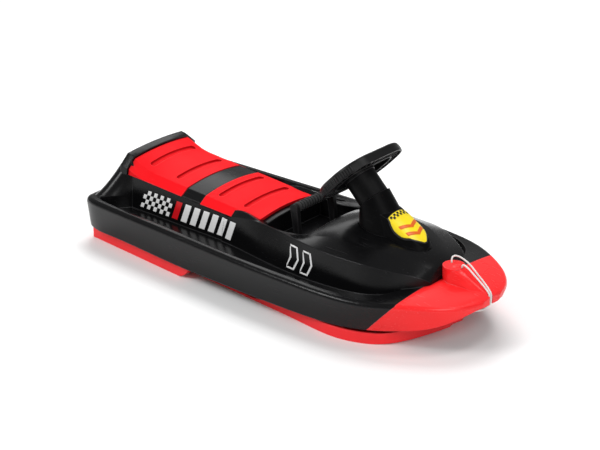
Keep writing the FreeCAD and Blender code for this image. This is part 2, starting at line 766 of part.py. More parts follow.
# Hull shell
CAP_SKIN = BUMPER_WALL + BUMPER_GAP
deck = fuse(cut(tub(), nose_zone()), tub(CAP_SKIN))
outer = fuse(cut(deck, well()), console(), tail(), cowl(),
             seat_band(back_shares, PAD_THICKNESS + BACK_RISE),
             seat_band(divider_shares, PAD_THICKNESS - RIB_SINK))
outer = cut(outer, recess())
under_deck = fuse(cut(tub(WALL, OVERRUN), nose_zone(-WALL)), tub(CAP_SKIN + WALL, OVERRUN))
inner = fuse(cut(under_deck, well(WALL)), console(WALL), tail(WALL), cowl(WALL))
inner = cut(inner, recess(WALL))
nose_front = HALF_LENGTH - HULL_NOSE_BACK
ahead = block(nose_front, HALF_LENGTH, -HALF_WIDTH, HALF_WIDTH, 0, SPLIT_HEIGHT)
hull = cut(outer, inner, ahead)
floor_front = CARRIER_FRONT + SCREW_GRIP
rim_floor = block(-HALF_LENGTH, floor_front, -HALF_WIDTH, HALF_WIDTH, HULL_BOTTOM, FLANGE_TOP)
flange = common(tub(WALL / 2), rim_floor)
flange = cut(flange, block(RUNNER_REAR, RUNNER_FRONT, -RUNNER_INNER, RUNNER_INNER, 0, RIM_HEIGHT),
             plan_prism(flange_window(), 0, RIM_HEIGHT))
pads = [standing(place, BOSS_RADIUS, HOUSING_PAD, cowl(WALL / 2)) for place in HOUSING_SCREWS]
pads += [standing(place, BOSS_RADIUS, RIM_HEIGHT, tub(CAP_SKIN + WALL / 2)) for place in BUMPER_SCREWS]
pads.append(standing(ROPE_PEG, PEG_RADIUS, PEG_FOOT, tub(CAP_SKIN + WALL / 2, OVERRUN)))
hull = fuse(hull, flange, *[brake_ear(side) for side in (-1, 1)], *pads)
axle_end = V(BRAKE_X, -AXLE_HALF, BRAKE_AXLE_HEIGHT)
hull = cut(hull, drum(FORK_RADIUS + FORK_ROOM, COWL_HEIGHT, V(KING_X, 0, CARRIER_TOP)),
           drum(BRAKE_AXLE_RADIUS + SEAT_FIT, 2 * AXLE_HALF, axle_end, ACROSS),
           *[post_slot(side) for side in (-1, 1)])
for x, y in RUNNER_SCREWS + CARRIER_SCREWS:
    hull = cut(hull, drum(SCREW_RADIUS + SEAT_FIT, RIM_HEIGHT, V(x, y, 0)))
for x, y in HOUSING_SCREWS + BUMPER_SCREWS:
    hull = cut(hull, drum(SCREW_RADIUS + SEAT_FIT, COWL_HEIGHT, V(x, y, RIM_HEIGHT)))
parts["hull_shell"] = hull

# Nose bumper
whole = fuse(tub(), ridge(), tongue())
hollow = fuse(tub(BUMPER_WALL, OVERRUN), ridge(BUMPER_WALL), tongue(BUMPER_WALL))
bumper = cut(common(whole, nose_zone(BUMPER_GAP)), hollow, cowl(-BUMPER_GAP))
bosses = [cut(standing(place, BOSS_RADIUS, RIM_HEIGHT, fuse(ridge(), tongue())), tub(BUMPER_WALL))
          for place in BUMPER_SCREWS]
bumper = fuse(bumper, *bosses)
holes = [drum(ROPE_RADIUS + ROPE_PLAY, TONGUE_HEIGHT, V(x, y, RIM_HEIGHT)) for x, y in ROPE_HOLES]
holes += [drum(SCREW_RADIUS + SEAT_FIT, 2 * SCREW_GRIP, V(x, y, RIM_HEIGHT)) for x, y in BUMPER_SCREWS]
notch = block(HALF_LENGTH - NOTCH_DEPTH, HALF_LENGTH, -NOTCH_WIDTH / 2, NOTCH_WIDTH / 2, 0, SPLIT_HEIGHT)
bumper = cut(bumper, notch, *holes)
parts["nose_bumper"] = bumper
parts["bumper_screws"] = Part.makeCompound([
    fastener(V(x, y, RIM_HEIGHT), UP, 2 * SCREW_GRIP, SCREW_RADIUS, SCREW_HEAD_RADIUS, SCREW_HEAD)
    for x, y in BUMPER_SCREWS])

# Seat pads
for name, shares in (("seat_pad_rear", rear_pad_shares), ("seat_pad_front", front_pad_shares)):
    pad = cut(seat_band(shares, PAD_THICKNESS), console(-PAD_GAP), tail(-PAD_GAP), cowl(-PAD_GAP), recess())
    for share in groove_shares:
        if shares[0] < share < shares[1]:
            pad = cut(pad, groove(share * HALF_LENGTH))
    parts[name] = pad

# Rear runners: open channels with screw bosses
runner = common(runner_plan(), runner_side())
hollow = common(runner_plan(SIDE_WALL), runner_side(SOLE))
bosses = [drum(BOSS_RADIUS, HULL_BOTTOM, V(x, y, 0)) for x, y in RUNNER_SCREWS if y > 0]
runner = fuse(cut(runner, hollow), *[common(boss, runner) for boss in bosses])
for x, y in RUNNER_SCREWS:
    runner = cut(runner, drum(SCREW_RADIUS + SEAT_FIT, HULL_BOTTOM, V(x, y, HULL_BOTTOM - SCREW_GRIP)))
parts["rear_runner_left"] = runner
parts["rear_runner_right"] = mirrored(runner)
screws = [fastener(V(x, y, FLANGE_TOP), DOWN, WALL + SCREW_GRIP, SCREW_RADIUS, SCREW_HEAD_RADIUS, SCREW_HEAD)
          for x, y in RUNNER_SCREWS]
parts["runner_screws"] = Part.makeCompound(screws)

# Front ski: sole, raised edge, hub and ribs
hub_top = HULL_BOTTOM - POST_FLANGE
tail_side = ski_edge_shares[0][1] * SKI_WIDTH / 2 - SKI_TAIL_WIDTH
bridge = KING_X - SKI_BRIDGE
tail_line = [(SKI_TAIL - OVERRUN, tail_side), (bridge - SKI_BRIDGE / 2, tail_side), (bridge, tail_side / 2)]
tails = plan_prism(tail_line + [(x, -y) for x, y in reversed(tail_line)], -OVERRUN, OVERRUN * 2)
plan = cut(ski_outline(), tails)
sole = common(plan, ski_side(SOLE, SKI_TAIL, SOLE))
edge = common(cut(ski_outline(), ski_outline(SIDE_WALL)), ski_side(SKI_EDGE, 0, SOLE))
hub = drum(SKI_HUB_RADIUS, hub_top, V(KING_X, 0, 0))
ribs = []
for angle in range(0, 360, 60):
    rib = block(0, SKI_WIDTH, -RIB_THICKNESS / 2, RIB_THICKNESS / 2, 0, hub_top - SOLE)
    rib.rotate(V(0, 0, 0), UP, angle)
    rib.translate(V(KING_X, 0, 0))
    ribs.append(common(rib, cut(ski_outline(SIDE_WALL / 2), tails), ski_side(SKI_EDGE, SKI_TAIL, SOLE)))
ski = fuse(sole, edge, hub, *ribs)
BOLT_CIRCLE = (POST_RADIUS + POST_FLANGE_RADIUS) / 2
bolt_seats = []
for angle in range(45, 360, 90):
    turn = math.radians(angle)
    bolt_seats.append(V(KING_X + BOLT_CIRCLE * math.cos(turn), BOLT_CIRCLE * math.sin(turn), SOLE))
for seat in bolt_seats:
    ski = cut(ski, drum(BOLT_RADIUS + SEAT_FIT, HULL_BOTTOM, seat),
              drum(BOLT_HEAD_RADIUS + PIN_PLAY, SOLE, seat - UP * SOLE))
parts["steering_ski"] = ski
BOLT_LENGTH = hub_top + POST_FLANGE / 2 - SOLE
parts["ski_bolts"] = Part.makeCompound([
    fastener(seat, UP, BOLT_LENGTH, BOLT_RADIUS, BOLT_HEAD_RADIUS, BOLT_HEAD) for seat in bolt_seats])

# King post with its foot flange and the fork on top
fork_base = KING_Z - FORK_DEPTH
axis_foot = V(KING_X, 0, hub_top)
post = fuse(drum(POST_RADIUS, fork_base - hub_top, axis_foot),
            drum(POST_FLANGE_RADIUS, POST_FLANGE, axis_foot),
            drum(FORK_RADIUS, FORK_BASE, V(KING_X, 0, fork_base - FORK_BASE)))
for side in (-1, 1):
    near, far = sorted((side * FORK_GAP / 2, side * (FORK_GAP / 2 + FORK_CHEEK)))
    half = FORK_LENGTH / 2
    post = fuse(post, block(KING_X - half, KING_X + half, near, far, fork_base, KING_Z + FORK_TOP))
slot = PIN_RADIUS + PIN_PLAY
PIN_HALF = FORK_GAP / 2 + FORK_CHEEK - PIN_END_GAP
slot_floor = KING_Z - slot - PIN_HALF * math.sin(math.radians(TILT)) * math.sin(math.radians(WHEEL_TURN))
post = cut(post, block(KING_X - slot, KING_X + slot, -FORK_RADIUS, FORK_RADIUS, slot_floor, KING_Z + OVERRUN))
post = cut(post, *[drum(BOLT_RADIUS + SEAT_FIT, BOLT_LENGTH, seat) for seat in bolt_seats])
parts["king_post"] = post
washer_foot = V(KING_X, 0, HULL_BOTTOM)
parts["thrust_washer"] = ring(WASHER_RADIUS, POST_RADIUS + RUN_FIT, WASHER, washer_foot)

# Carrier of the post, with its two bushes
bush_outer = POST_RADIUS + BUSH_WALL
carrier_foot = HULL_BOTTOM + WASHER
tube_radius = bush_outer + TUBE_WALL
half = CARRIER_LENGTH / 2
plate_top = FLANGE_TOP + CARRIER_PLATE
carrier = fuse(block(KING_X - half, KING_X + half, -CARRIER_HALF, CARRIER_HALF, FLANGE_TOP, plate_top),
               drum(tube_radius, CARRIER_TOP - carrier_foot, V(KING_X, 0, carrier_foot)))
for x in (KING_X - half, KING_X + half - RIB_THICKNESS):
    rib = block(x, x + RIB_THICKNESS, -CARRIER_HALF, CARRIER_HALF, FLANGE_TOP, FLANGE_TOP + CARRIER_RIB)
    carrier = fuse(carrier, rib)
for side in (-1, 1):
    web_top = CARRIER_TOP - BUSH_LENGTH
    web = [(0, FLANGE_TOP), (CARRIER_HALF - 2 * SCREW_GRIP, FLANGE_TOP), (tube_radius, web_top), (0, web_top)]
    corners = [V(KING_X - RIB_THICKNESS / 2, side * y, z) for y, z in web + web[:1]]
    carrier = fuse(carrier, Part.Face(Part.makePolygon(corners)).extrude(AHEAD * RIB_THICKNESS))
carrier = cut(carrier, drum(POST_RADIUS + TUBE_WALL / 2, COWL_HEIGHT, V(KING_X, 0, 0)))
for z in (carrier_foot, CARRIER_TOP - BUSH_LENGTH):
    carrier = cut(carrier, drum(bush_outer + SEAT_FIT, BUSH_LENGTH, V(KING_X, 0, z)))
for x, y in CARRIER_SCREWS:
    carrier = cut(carrier, drum(SCREW_RADIUS + SEAT_FIT, SCREW_GRIP, V(x, y, HULL_BOTTOM)))
parts["steering_carrier"] = carrier
for name, z in (("post_bush_lower", carrier_foot), ("post_bush_upper", CARRIER_TOP - BUSH_LENGTH)):
    parts[name] = ring(bush_outer, POST_RADIUS + RUN_FIT, BUSH_LENGTH, V(KING_X, 0, z))
parts["carrier_screws"] = Part.makeCompound([
    fastener(V(x, y, HULL_BOTTOM), UP, WALL + CARRIER_PLATE, SCREW_RADIUS, SCREW_HEAD_RADIUS, SCREW_HEAD)
    for x, y in CARRIER_SCREWS])

# Tower round the column
bush_seat = SHAFT_RADIUS + BUSH_WALL
shell = cut(fuse(tower(), fairing()), tower(HOUSING_WALL), fairing(HOUSING_WALL))
form = fuse(tower(), fairing())
tube = along_column(drum(bush_seat + TUBE_WALL, SHAFT_TUBE, V(0, 0, -SHAFT_TUBE)))
bosses = [standing(place, BOSS_RADIUS, HOUSING_PAD, form) for place in HOUSING_SCREWS]
housing = cut(fuse(shell, tube, *bosses), cowl(-HOUSING_GAP))
bore = drum(SHAFT_RADIUS + BUSH_WALL / 2, SHAFT_TUBE, V(0, 0, -SHAFT_TUBE))
for z in (-SHAFT_TUBE, -BUSH_LENGTH):
    bore = fuse(bore, drum(bush_seat + SEAT_FIT, BUSH_LENGTH, V(0, 0, z)))
housing = cut(housing, along_column(bore))
for x, y in HOUSING_SCREWS:
    housing = cut(housing, drum(SCREW_RADIUS + SEAT_FIT, 2 * SCREW_GRIP, V(x, y, HOUSING_PAD)))
parts["steering_housing"] = housing
parts["housing_screws"] = Part.makeCompound([
    fastener(V(x, y, HOUSING_PAD), UP, 2 * SCREW_GRIP, SCREW_RADIUS, SCREW_HEAD_RADIUS, SCREW_HEAD)
    for x, y in HOUSING_SCREWS])

# Shaft with its bushes and the pin that turns the fork
shaft_foot = V(0, 0, -COLUMN_DROP - SHAFT_TAIL)
shaft = drum(SHAFT_RADIUS, SHAFT_TOP - shaft_foot.z, shaft_foot)
flats = block(-SHAFT_RADIUS, SHAFT_RADIUS, -SHAFT_FLAT / 2, SHAFT_FLAT / 2, SLEEVE_LENGTH, SHAFT_TOP)
shaft = fuse(common(shaft, flats), drum(SHAFT_RADIUS, SLEEVE_LENGTH - shaft_foot.z, shaft_foot))
pin_base = V(0, -PIN_HALF, -COLUMN_DROP)
shaft = cut(shaft, drum(PIN_RADIUS + SEAT_FIT, 2 * PIN_HALF, pin_base, ACROSS))
parts["steering_shaft"] = along_column(shaft)
parts["cross_pin"] = along_column(drum(PIN_RADIUS, 2 * PIN_HALF, pin_base, ACROSS))
bush = ring(bush_seat, SHAFT_RADIUS + RUN_FIT, BUSH_LENGTH, V(0, 0, -BUSH_LENGTH))
collar = ring(bush_seat + BUSH_RIM, SHAFT_RADIUS + RUN_FIT, SPLIT_GAP, V(0, 0, 0))
parts["shaft_bush_upper"] = along_column(fuse(bush, collar))
lower_bush = ring(bush_seat, SHAFT_RADIUS + RUN_FIT, BUSH_LENGTH, V(0, 0, -SHAFT_TUBE))
parts["shaft_bush_lower"] = along_column(lower_bush)

# Sleeve between tower and wheel, closed at its foot
sleeve = drum(SLEEVE_RADIUS, SLEEVE_LENGTH - SPLIT_GAP, V(0, 0, SPLIT_GAP))
sleeve = cut(sleeve, drum(SLEEVE_RADIUS - SLEEVE_WALL, SLEEVE_LENGTH, V(0, 0, SPLIT_GAP + SLEEVE_WALL)),
             drum(SHAFT_RADIUS + SEAT_FIT, SLEEVE_LENGTH, V(0, 0, 0)))
parts["hub_sleeve"] = along_column(sleeve)

# Steering wheel: a rounded rim with an open, ribbed back
wheel_top = SLEEVE_LENGTH + WHEEL_DEPTH
rim_outer = rim_prism(0, SLEEVE_LENGTH, wheel_top)
rim = cut(rim_outer, rim_prism(WHEEL_RIM, SLEEVE_LENGTH, wheel_top))
top_edges = [edge for edge in rim.Edges if min(vertex.Z for vertex in edge.Vertexes) > wheel_top - RUN_FIT]
rim = rim.makeFillet(WHEEL_ROUND, top_edges)
channel = cut(rim_prism(WHEEL_SKIN, SLEEVE_LENGTH, wheel_top - WHEEL_SKIN),
              rim_prism(WHEEL_RIM - WHEEL_SKIN, SLEEVE_LENGTH, wheel_top - WHEEL_SKIN))
ribs = []
for count in range(WHEEL_RIBS):
    rib_foot = SLEEVE_LENGTH + RIB_SETBACK
    rib = block(0, WHEEL_WIDTH, -WHEEL_RIB / 2, WHEEL_RIB / 2, rib_foot, wheel_top - WHEEL_SKIN)
    rib.rotate(V(0, 0, 0), UP, 360 * (count + 0.5) / WHEEL_RIBS)
    rib.translate(V(WHEEL_OFFSET, 0, 0))
    ribs.append(common(rib, channel))
rim = fuse(cut(rim, channel), *ribs)
hub_top_z = SLEEVE_LENGTH + HUB_DEPTH
spoke_low = hub_top_z - SPOKE_DEPTH
spoke_end = WHEEL_WIDTH / 2 - WHEEL_RIM + WHEEL_SKIN / 2
lower_end = WHEEL_OFFSET - WHEEL_HEIGHT / 2 + WHEEL_RIM - WHEEL_SKIN / 2
half = SPOKE_WIDTH / 2
spokes = [block(-half, half, -spoke_end, spoke_end, spoke_low, hub_top_z),
          block(lower_end, 0, -LOWER_SPOKE / 2, LOWER_SPOKE / 2, spoke_low, hub_top_z)]
inner = half - WHEEL_SKIN
pocket = block(-inner, inner, -spoke_end, spoke_end, spoke_low, hub_top_z - WHEEL_SKIN)
hub = drum(HUB_RADIUS, HUB_DEPTH, V(0, 0, SLEEVE_LENGTH))
wheel = fuse(cut(fuse(*spokes), pocket), hub)
wheel = fuse(rim, wheel)
hub_floor = SLEEVE_LENGTH + HUB_PLATE
flat = SHAFT_FLAT / 2 + SEAT_FIT
shaft_hole = common(drum(SHAFT_RADIUS + SEAT_FIT, WHEEL_DEPTH, V(0, 0, SLEEVE_LENGTH)),
                    block(-HUB_RADIUS, HUB_RADIUS, -flat, flat, 0, wheel_top))
wheel = cut(wheel, drum(HUB_CUP, HUB_DEPTH, V(0, 0, hub_floor)), shaft_hole)
ridges = []
for side in (-1, 1):
    for count in range(GRIP_RIDGES):
        x = WHEEL_OFFSET + (count - (GRIP_RIDGES - 1) / 2) * GRIP_PITCH / 2
        ridges.append(drum(GRIP_RIDGE, WHEEL_DEPTH - WHEEL_ROUND - RIB_SETBACK,
                           V(x, side * WHEEL_WIDTH / 2, SLEEVE_LENGTH + RIB_SETBACK)))
rim_inside = rim_prism(WHEEL_SKIN / 2, SLEEVE_LENGTH, wheel_top)
wheel = fuse(wheel, *[cut(ridge_bar, rim_inside) for ridge_bar in ridges])
parts["steering_wheel"] = along_column(wheel)
hexagon = []
for angle in range(0, 420, 60):
    turn = math.radians(angle)
    hexagon.append(V(math.cos(turn), math.sin(turn), 0) * (NUT_ACROSS / math.sqrt(3)) + UP * hub_floor)
nut = Part.Face(Part.makePolygon(hexagon)).extrude(V(0, 0, NUT_HEIGHT))
parts["wheel_nut"] = along_column(cut(nut, drum(SHAFT_RADIUS + SEAT_FIT, NUT_HEIGHT, V(0, 0, hub_floor))))
cap = fuse(drum(CAP_RADIUS, CAP_HEIGHT, V(0, 0, hub_top_z)),
           ring(HUB_CUP - SEAT_FIT, HUB_CUP - WHEEL_SKIN, CAP_SKIRT, V(0, 0, hub_top_z - CAP_SKIRT)))
parts["wheel_cap"] = along_column(cap)

# Brake bail with its grip, axle and claw
axle_point = V(BRAKE_X, 0, BRAKE_AXLE_HEIGHT)
bail_top = V(BRAKE_X - BRAKE_LEAN, 0, BRAKE_TOP)
arm_end = V(BRAKE_X - BRAKE_REACH, 0, BRAKE_ARM_HEIGHT)
bail_half = BRAKE_SPREAD / 2
lever_sides = []
pad_half = BRAKE_POST_DEPTH / 2
for side in (-1, 1):
    low_y = side * bail_half - BRAKE_POST / 2
    high_y = low_y + BRAKE_POST
    post_bar = bar(axle_point, bail_top, (BRAKE_POST_DEPTH, BRAKE_POST_TOP), low_y, high_y)
    groove_widths = (BRAKE_POST_DEPTH - 2 * BRAKE_GROOVE, BRAKE_POST_TOP - 2 * BRAKE_GROOVE)
    start = axle_point + (bail_top - axle_point) * groove_start_share
    stop = axle_point + (bail_top - axle_point) * groove_stop_share
    post_bar = cut(post_bar, bar(start, stop, groove_widths, low_y, low_y + BRAKE_GROOVE),
                   bar(start, stop, groove_widths, high_y - BRAKE_GROOVE, high_y))
    base = V(0, low_y, 0)
    arm = bar(axle_point, arm_end, (BRAKE_POST_DEPTH, BRAKE_POST_DEPTH), low_y, high_y)
    lever_sides.append(fuse(post_bar, arm,
                            drum(BRAKE_BOSS, BRAKE_POST, axle_point + base, ACROSS),
                            drum(BRAKE_POST_TOP / 2, BRAKE_POST, bail_top + base, ACROSS),
                            block(arm_end.x - pad_half, arm_end.x + pad_half, low_y, high_y,
                                  arm_end.z - CLAW_PAD / 2, arm_end.z + CLAW_PAD / 2)))
bar_base = bail_top - ACROSS * bail_half
lever = fuse(*lever_sides, drum(BRAKE_BAR_RADIUS, BRAKE_SPREAD, bar_base, ACROSS))
claw_rear = arm_end.x - pad_half
claw_bolt_seats = [V(claw_rear - CLAW_THICKNESS, side * bail_half, arm_end.z) for side in (-1, 1)]
bolt_holes = [drum(SCREW_RADIUS + SEAT_FIT, BRAKE_POST_DEPTH, seat, AHEAD) for seat in claw_bolt_seats]
bore_end = axle_point - ACROSS * BRAKE_SPREAD
lever = cut(lever, drum(BRAKE_AXLE_RADIUS + RUN_FIT, BRAKE_SPREAD * 2, bore_end, ACROSS), *bolt_holes)
parts["brake_lever"] = lever
grip_half = bail_half - BRAKE_POST / 2
grip_base = bail_top - ACROSS * grip_half
grip = ring(BRAKE_GRIP_RADIUS, BRAKE_BAR_RADIUS + SEAT_FIT, 2 * grip_half, grip_base, ACROSS)
pitch = 2 * grip_half / (GRIP_RINGS + 1)
notches = [ring(BRAKE_GRIP_RADIUS + GRIP_NOTCH, BRAKE_GRIP_RADIUS - GRIP_NOTCH, pitch / 2,
                grip_base + ACROSS * pitch * (count + 0.75), ACROSS) for count in range(GRIP_RINGS)]
parts["brake_grip"] = cut(grip, *notches)
rod = drum(BRAKE_AXLE_RADIUS, 2 * AXLE_HALF, axle_point - ACROSS * AXLE_HALF, ACROSS)
heads = [drum(AXLE_HEAD_RADIUS, AXLE_HEAD, axle_point + ACROSS * AXLE_HALF, ACROSS),
         drum(AXLE_HEAD_RADIUS, AXLE_HEAD, axle_point - ACROSS * (AXLE_HALF + AXLE_HEAD), ACROSS)]
parts["brake_axle"] = fuse(rod, *heads)
claw_half = bail_half + BRAKE_POST / 2
tooth = CLAW_WIDTH / CLAW_TEETH
root = CLAW_TIP + CLAW_TOOTH
pad_top = arm_end.z + CLAW_PAD / 2
pad_low = arm_end.z - CLAW_PAD / 2
outline = [(claw_half, pad_top), (claw_half, pad_low), (CLAW_WIDTH / 2, root)]
for count in range(CLAW_TEETH):
    outline.append((CLAW_WIDTH / 2 - tooth * (count + 0.5), CLAW_TIP))
    outline.append((CLAW_WIDTH / 2 - tooth * (count + 1), root))
outline += [(-claw_half, pad_low), (-claw_half, pad_top)]
corners = [V(claw_rear, y, z) for y, z in outline + outline[:1]]
claw = Part.Face(Part.makePolygon(corners)).extrude(V(-CLAW_THICKNESS, 0, 0))
parts["brake_claw"] = cut(claw, *bolt_holes)
parts["claw_bolts"] = Part.makeCompound([
    fastener(seat, AHEAD, BRAKE_POST_DEPTH, SCREW_RADIUS, SCREW_HEAD_RADIUS, SCREW_HEAD)
    for seat in claw_bolt_seats])

# Return spring round the brake axle: one leg under the lever's arm, one against the recess floor
coil = pad_half + SPRING_WIRE + SPRING_GAP
along_arm = (arm_end - axle_point).normalize()
under_arm = V(-along_arm.z, 0, along_arm.x)
coil_start = math.atan2(under_arm.z, under_arm.x)
coil_top = bail_half - BRAKE_POST / 2 - SPRING_PITCH
leg = axle_point + along_arm * SPRING_LEG + under_arm * coil
route = [leg + ACROSS * (bail_half + SPRING_WIRE), leg + ACROSS * coil_top]
steps = 8 * SPRING_TURNS
sweep_angle = 2 * math.pi * SPRING_TURNS - coil_start
corner_radius = coil / math.cos(sweep_angle / steps / 2)
for count in range(steps):
    angle = coil_start + sweep_angle * (count + 0.5) / steps
    drop = SPRING_PITCH * SPRING_TURNS * (count + 0.5) / steps
    spoke = V(math.cos(angle), 0, math.sin(angle)) * corner_radius
    route.append(axle_point + spoke + ACROSS * (coil_top - drop))
coil_end = coil_top - SPRING_PITCH * SPRING_TURNS
route.append(V(BRAKE_X + coil, coil_end, RECESS_FLOOR - WALL - SPRING_GAP))
spring = tube_along(route, SPRING_WIRE, "return spring")
parts["brake_return_spring"] = spring

# Tow rope: from one hole of the tongue over the notch, round the peg under the nose and back to the
# other hole
rope_points = [
    (520.8, 0, 174), (520.7, 0.1, 181), (520.9, 0, 188.5), (527.5, -1, 194), (541, -1, 189),
    (561, 0, 174.5), (582, 1, 159), (600, -1, 148), (612, -3.2, 139), (612.5, -3.5, 124),
    (610, -3.6, 108), (603.5, -13, 98.5), (593.5, -28, 96.5), (585, -40.5, 97), (574.5, -46.5, 97.3),
    (562.5, -38.5, 97.6), (565.5, -25.5, 98), (578, -19.5, 98), (592, -11.5, 97), (605.5, -1, 100),
    (611.5, 3.2, 111), (612.5, 3.4, 125), (612, 3.6, 139), (600, 7, 148), (581, 13, 157.5),
    (557, 18, 170), (532, 22.5, 185.5), (509, 26.5, 192.5), (491, 28, 195.5), (480.5, 24.5, 196.5),
    (478.5, 15.5, 195.5), (482, 8.2, 190.5), (482.2, 8, 182), (482.1, 8.1, 174),
]
rope = tube_along([V(*point) for point in rope_points], ROPE_RADIUS, "tow rope")
knots = [Part.makeSphere(KNOT_RADIUS, V(*rope_points[0])), Part.makeSphere(KNOT_RADIUS, V(*rope_points[-1]))]
parts["tow_rope"] = fuse(rope, *knots)

os.makedirs("parts", exist_ok=True)
for name, shape in parts.items():
    shape.exportStep("parts/" + name + ".step")
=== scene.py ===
import math

import bmesh
import bpy
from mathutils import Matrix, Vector
from mathutils.bvhtree import BVHTree


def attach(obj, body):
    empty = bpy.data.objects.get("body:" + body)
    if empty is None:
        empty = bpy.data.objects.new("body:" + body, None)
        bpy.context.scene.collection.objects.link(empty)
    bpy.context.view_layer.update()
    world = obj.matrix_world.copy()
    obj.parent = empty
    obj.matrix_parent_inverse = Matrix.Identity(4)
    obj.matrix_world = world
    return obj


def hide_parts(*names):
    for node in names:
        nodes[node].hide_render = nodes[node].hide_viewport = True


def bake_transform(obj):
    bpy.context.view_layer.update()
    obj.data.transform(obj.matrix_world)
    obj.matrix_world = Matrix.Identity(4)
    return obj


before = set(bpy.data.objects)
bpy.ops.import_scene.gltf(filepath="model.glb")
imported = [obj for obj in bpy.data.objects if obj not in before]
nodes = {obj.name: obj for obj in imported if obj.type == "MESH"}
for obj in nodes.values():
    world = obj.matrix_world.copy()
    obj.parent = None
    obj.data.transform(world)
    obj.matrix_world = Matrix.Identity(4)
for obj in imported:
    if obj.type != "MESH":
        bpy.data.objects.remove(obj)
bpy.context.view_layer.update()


# Hull shell
# One black shell, moulded in polyethylene with a fine leather grain, open below.
# The rims and creases are rounded and rub pale where boots and snow pass over them; the pale edge colour is
# also a painted highlight.
hull_black = (0.0036, 0.0036, 0.0040)
hull_worn_and_highlit = (0.050, 0.050, 0.052)
black_shine = 0.22
cloud_scale = 7
cloud_span = (0.3, 0.7)
cloud_share = 0.35
cloud_tone = 0.72
scuff_run = (9, 240, 240)
scuff_span = (0.62, 0.75)
scuff_pale = 0.12
scuff_dull = 0.1
edge_span = (0.995, 0.9)
edge_samples = 6
gloss_spread = 0.05
grain_strength = 0.35
# Painted shade in grooves, darkened by ambient occlusion:
groove_shade_span = (0.8, 0.965)
groove_shade_share = 0.85
groove_shade_tone = 0.55
groove_shade_samples = 8
mix_colours = (6, 7)
mix_result = 2


def new_material(name, roughness):
    """A material, its node tree and its shader."""
    material = bpy.data.materials.new(name)
    material.use_nodes = True
    shader = material.node_tree.nodes["Principled BSDF"]
    shader.inputs["Roughness"].default_value = roughness
    return material, material.node_tree, shader


def put(tree, kind, values=None, **links):
    """A node with its input values set by name and its inputs linked from sockets."""
    made = tree.nodes.new(kind)
    for name, value in (values or {}).items():
        made.inputs[name].default_value = value
    for name, socket in links.items():
        tree.links.new(socket, made.inputs[name])
    return made


def place_on(tree):
    """The place on the piece, in metres."""
    return put(tree, "ShaderNodeTexCoord").outputs["Object"]


def noise(tree, place, scale, detail=3):
    """A cloudy pattern between 0 and 1."""
    values = {"Scale": scale, "Detail": detail}
    return put(tree, "ShaderNodeTexNoise", values, Vector=place).outputs["Fac"]


def stretched(tree, place, scales):
    """The place with its axes scaled, to draw a pattern out along one of them."""
    return put(tree, "ShaderNodeMapping", {"Scale": scales}, Vector=place).outputs["Vector"]


def figure(tree, operation, first, second):
    """A sum on two numbers, the second a socket or a plain value."""
    made = tree.nodes.new("ShaderNodeMath")
    made.operation = operation
    tree.links.new(first, made.inputs[0])
    if isinstance(second, float):
        made.inputs[1].default_value = second
    else:
        tree.links.new(second, made.inputs[1])
    return made.outputs[0]


def ramp(tree, value, span, to):
    """A number mapped from one span to another and held at its ends."""
    values = {"From Min": span[0], "From Max": span[1], "To Min": to[0], "To Max": to[1]}
    return put(tree, "ShaderNodeMapRange", values, Value=value).outputs[0]


def toned(colour, share):
    """A colour darkened to a share of itself."""
    return tuple(channel * share for channel in colour)


def mixed(tree, share, first, second):
    """A colour between two, each a socket or plain red, green and blue."""
    made = tree.nodes.new("ShaderNodeMix")
    made.data_type = "RGBA"
    tree.links.new(share, made.inputs[0])
    for place, colour in zip(mix_colours, (first, second)):
        if isinstance(colour, tuple):
            made.inputs[place].default_value = (*colour, 1)
        else:
            tree.links.new(colour, made.inputs[place])
    return made.outputs[mix_result]


def coloured(tree, shader, colour):
    """Link a colour to the shader."""
    tree.links.new(colour, shader.inputs["Base Color"])


def glossed(tree, shader, roughness):
    """Link a roughness to the shader."""
    tree.links.new(roughness, shader.inputs["Roughness"])


def bumped(tree, shader, height, strength, depth, **under):
    """Raise the shading by a pattern, over another normal where one is given."""
    values = {"Strength": strength, "Distance": depth}
    bump = put(tree, "ShaderNodeBump", values, Height=height, **under)
    tree.links.new(bump.outputs["Normal"], shader.inputs["Normal"])


